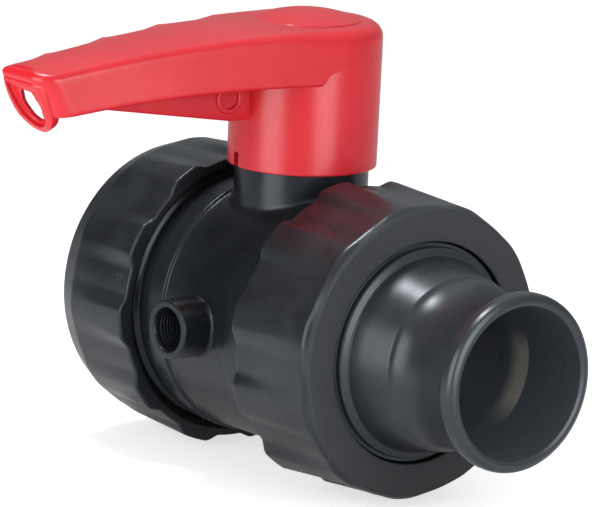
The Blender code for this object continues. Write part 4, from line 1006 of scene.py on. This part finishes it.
make_barrel()
make_neck()
make_port()
make_nut("inlet_nut_lobed", -1.0, INLET_NUT_TURN, "inlet_nut", "inlet_union_nut",
         INLET_NUT_LENGTH, INLET_NUT_BEVEL, INLET_NUT_STEP)
make_nut("outlet_nut_lobed", 1.0, OUTLET_NUT_TURN, "outlet_nut", "outlet_union_nut",
         OUTLET_NUT_LENGTH, OUTLET_NUT_BEVEL, OUTLET_NUT_STEP)
make_gate("inlet_nut_gate", INLET_GATE_AT, INLET_GATE_TURN, INLET_GATE_RADIUS, "inlet_nut")
make_gate("outlet_nut_gate", OUTLET_GATE_AT, 0.0, OUTLET_GATE_RADIUS, "outlet_nut")
make_spigot()
make_inlet()
make_inside()
make_hub()
make_lever()
make_pad()
make_web()
make_eye()

for name in ("stem", "seat_carrier"):
    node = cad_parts[name]
    node.data.materials.clear()
    node.data.materials.append(BODY_BLACK)


def make_floor():
    """A wide white floor under the nuts. The camera and reflections see it lighter, and the valve's
    shadow stays on it."""
    size, height = FLOOR_HALF, float(cad_box[0][2]) - FLOOR_GAP
    corners = [(-size, -size, height), (size, -size, height), (size, size, height), (-size, size, height)]
    mesh = bpy.data.meshes.new("floor")
    mesh.from_pydata(corners, [], [(0, 1, 2, 3)])
    floor = bpy.data.objects.new("floor", mesh)
    bpy.context.scene.collection.objects.link(floor)
    paint = Paint(bpy.data.materials.new("floor_white"))
    mottle = paint.noise(400.0, 2.0)
    seen = paint.node("ShaderNodeLightPath", output="Is Camera Ray")
    for ray in ("Is Glossy Ray", "Is Transmission Ray"):
        seen = seen + 0.25 * paint.node("ShaderNodeLightPath", output=ray)
    lift = paint.blend(seen, (0.0, 0.0, 0.0), (0.66, 0.66, 0.66))
    tone = paint.blend(mottle, (0.62, 0.62, 0.62), (0.65, 0.65, 0.65))
    paint.set(Emission_Strength=1.0, Specular_IOR_Level=0.1)
    mesh.materials.append(paint.set(Base_Color=tone, Roughness=0.9, Emission_Color=lift))


def make_light():
    """A sky that brightens from the horizon to overhead, is dark to the front left, and is white where
    the camera sees it; two broad soft lamps, one each side of the camera, and a small one overhead."""
    scene = bpy.context.scene
    scene.view_settings.view_transform = "Standard"
    scene.world = bpy.data.worlds.new("studio")
    sky = Paint(scene.world, "Background", "Generated")
    dot = {"operation": "DOT_PRODUCT"}
    front_left = sky.node("ShaderNodeVectorMath", dot, {0: sky.place, 1: DARK_SKY}, "Value")
    level = sky.ramp(sky.axis("Z"), 0.1, 0.9, 0.30, 0.78) * sky.ramp(front_left, 0.45, 0.9, 1.0, 0.12)
    seen = sky.node("ShaderNodeLightPath", output="Is Camera Ray")
    tint = sky.blend(seen, (0.93, 0.965, 1.0), (1.0, 1.0, 1.0))
    sky.set(Strength=level + seen * (1.0 - level), Color=tint)
    aim = Vector((INLET_REACH * MM, 0.0, LAMP_AIM))
    for name, heading, rise, distance, width, height, power in LAMPS:
        lamp = bpy.data.lights.new(name, "AREA")
        lamp.shape = "RECTANGLE"
        lamp.size, lamp.size_y = width, height
        lamp.energy = power
        holder = bpy.data.objects.new(name, lamp)
        scene.collection.objects.link(holder)
        heading, rise = math.radians(heading), math.radians(rise)
        level_x, level_y = math.sin(heading), -math.cos(heading)
        away = Vector((level_x * math.cos(rise), level_y * math.cos(rise), math.sin(rise)))
        holder.location = aim + away * distance
        holder.rotation_euler = away.to_track_quat("Z", "Y").to_euler()
        holder.visible_camera = False


def make_camera():
    """A long lens from the outlet's side, a little above the valve, turned so that the ball's centre lies
    off the middle of the picture by the shift."""
    lens = bpy.data.cameras.new("camera")
    lens.sensor_width = 36.0
    lens.sensor_fit = "HORIZONTAL"
    lens.lens = CAMERA_LENS
    lens.clip_end = 200.0
    camera = bpy.data.objects.new("camera", lens)
    bpy.context.scene.collection.objects.link(camera)
    aside, above = (shift / CAMERA_FOCUS_PX for shift in CAMERA_SHIFT_PX)
    ahead = (-CAMERA_BACK + CAMERA_RIGHT * aside + CAMERA_UP * above).normalized()
    right = (CAMERA_RIGHT - ahead * CAMERA_RIGHT.dot(ahead)).normalized()
    turn = Matrix((right, right.cross(ahead), -ahead)).transposed().to_4x4()
    place = Vector((INLET_REACH * MM, 0.0, 0.0)) + CAMERA_BACK * CAMERA_DISTANCE
    camera.matrix_world = Matrix.Translation(place) @ turn
    bpy.context.scene.camera = camera


make_floor()
make_light()
make_camera()
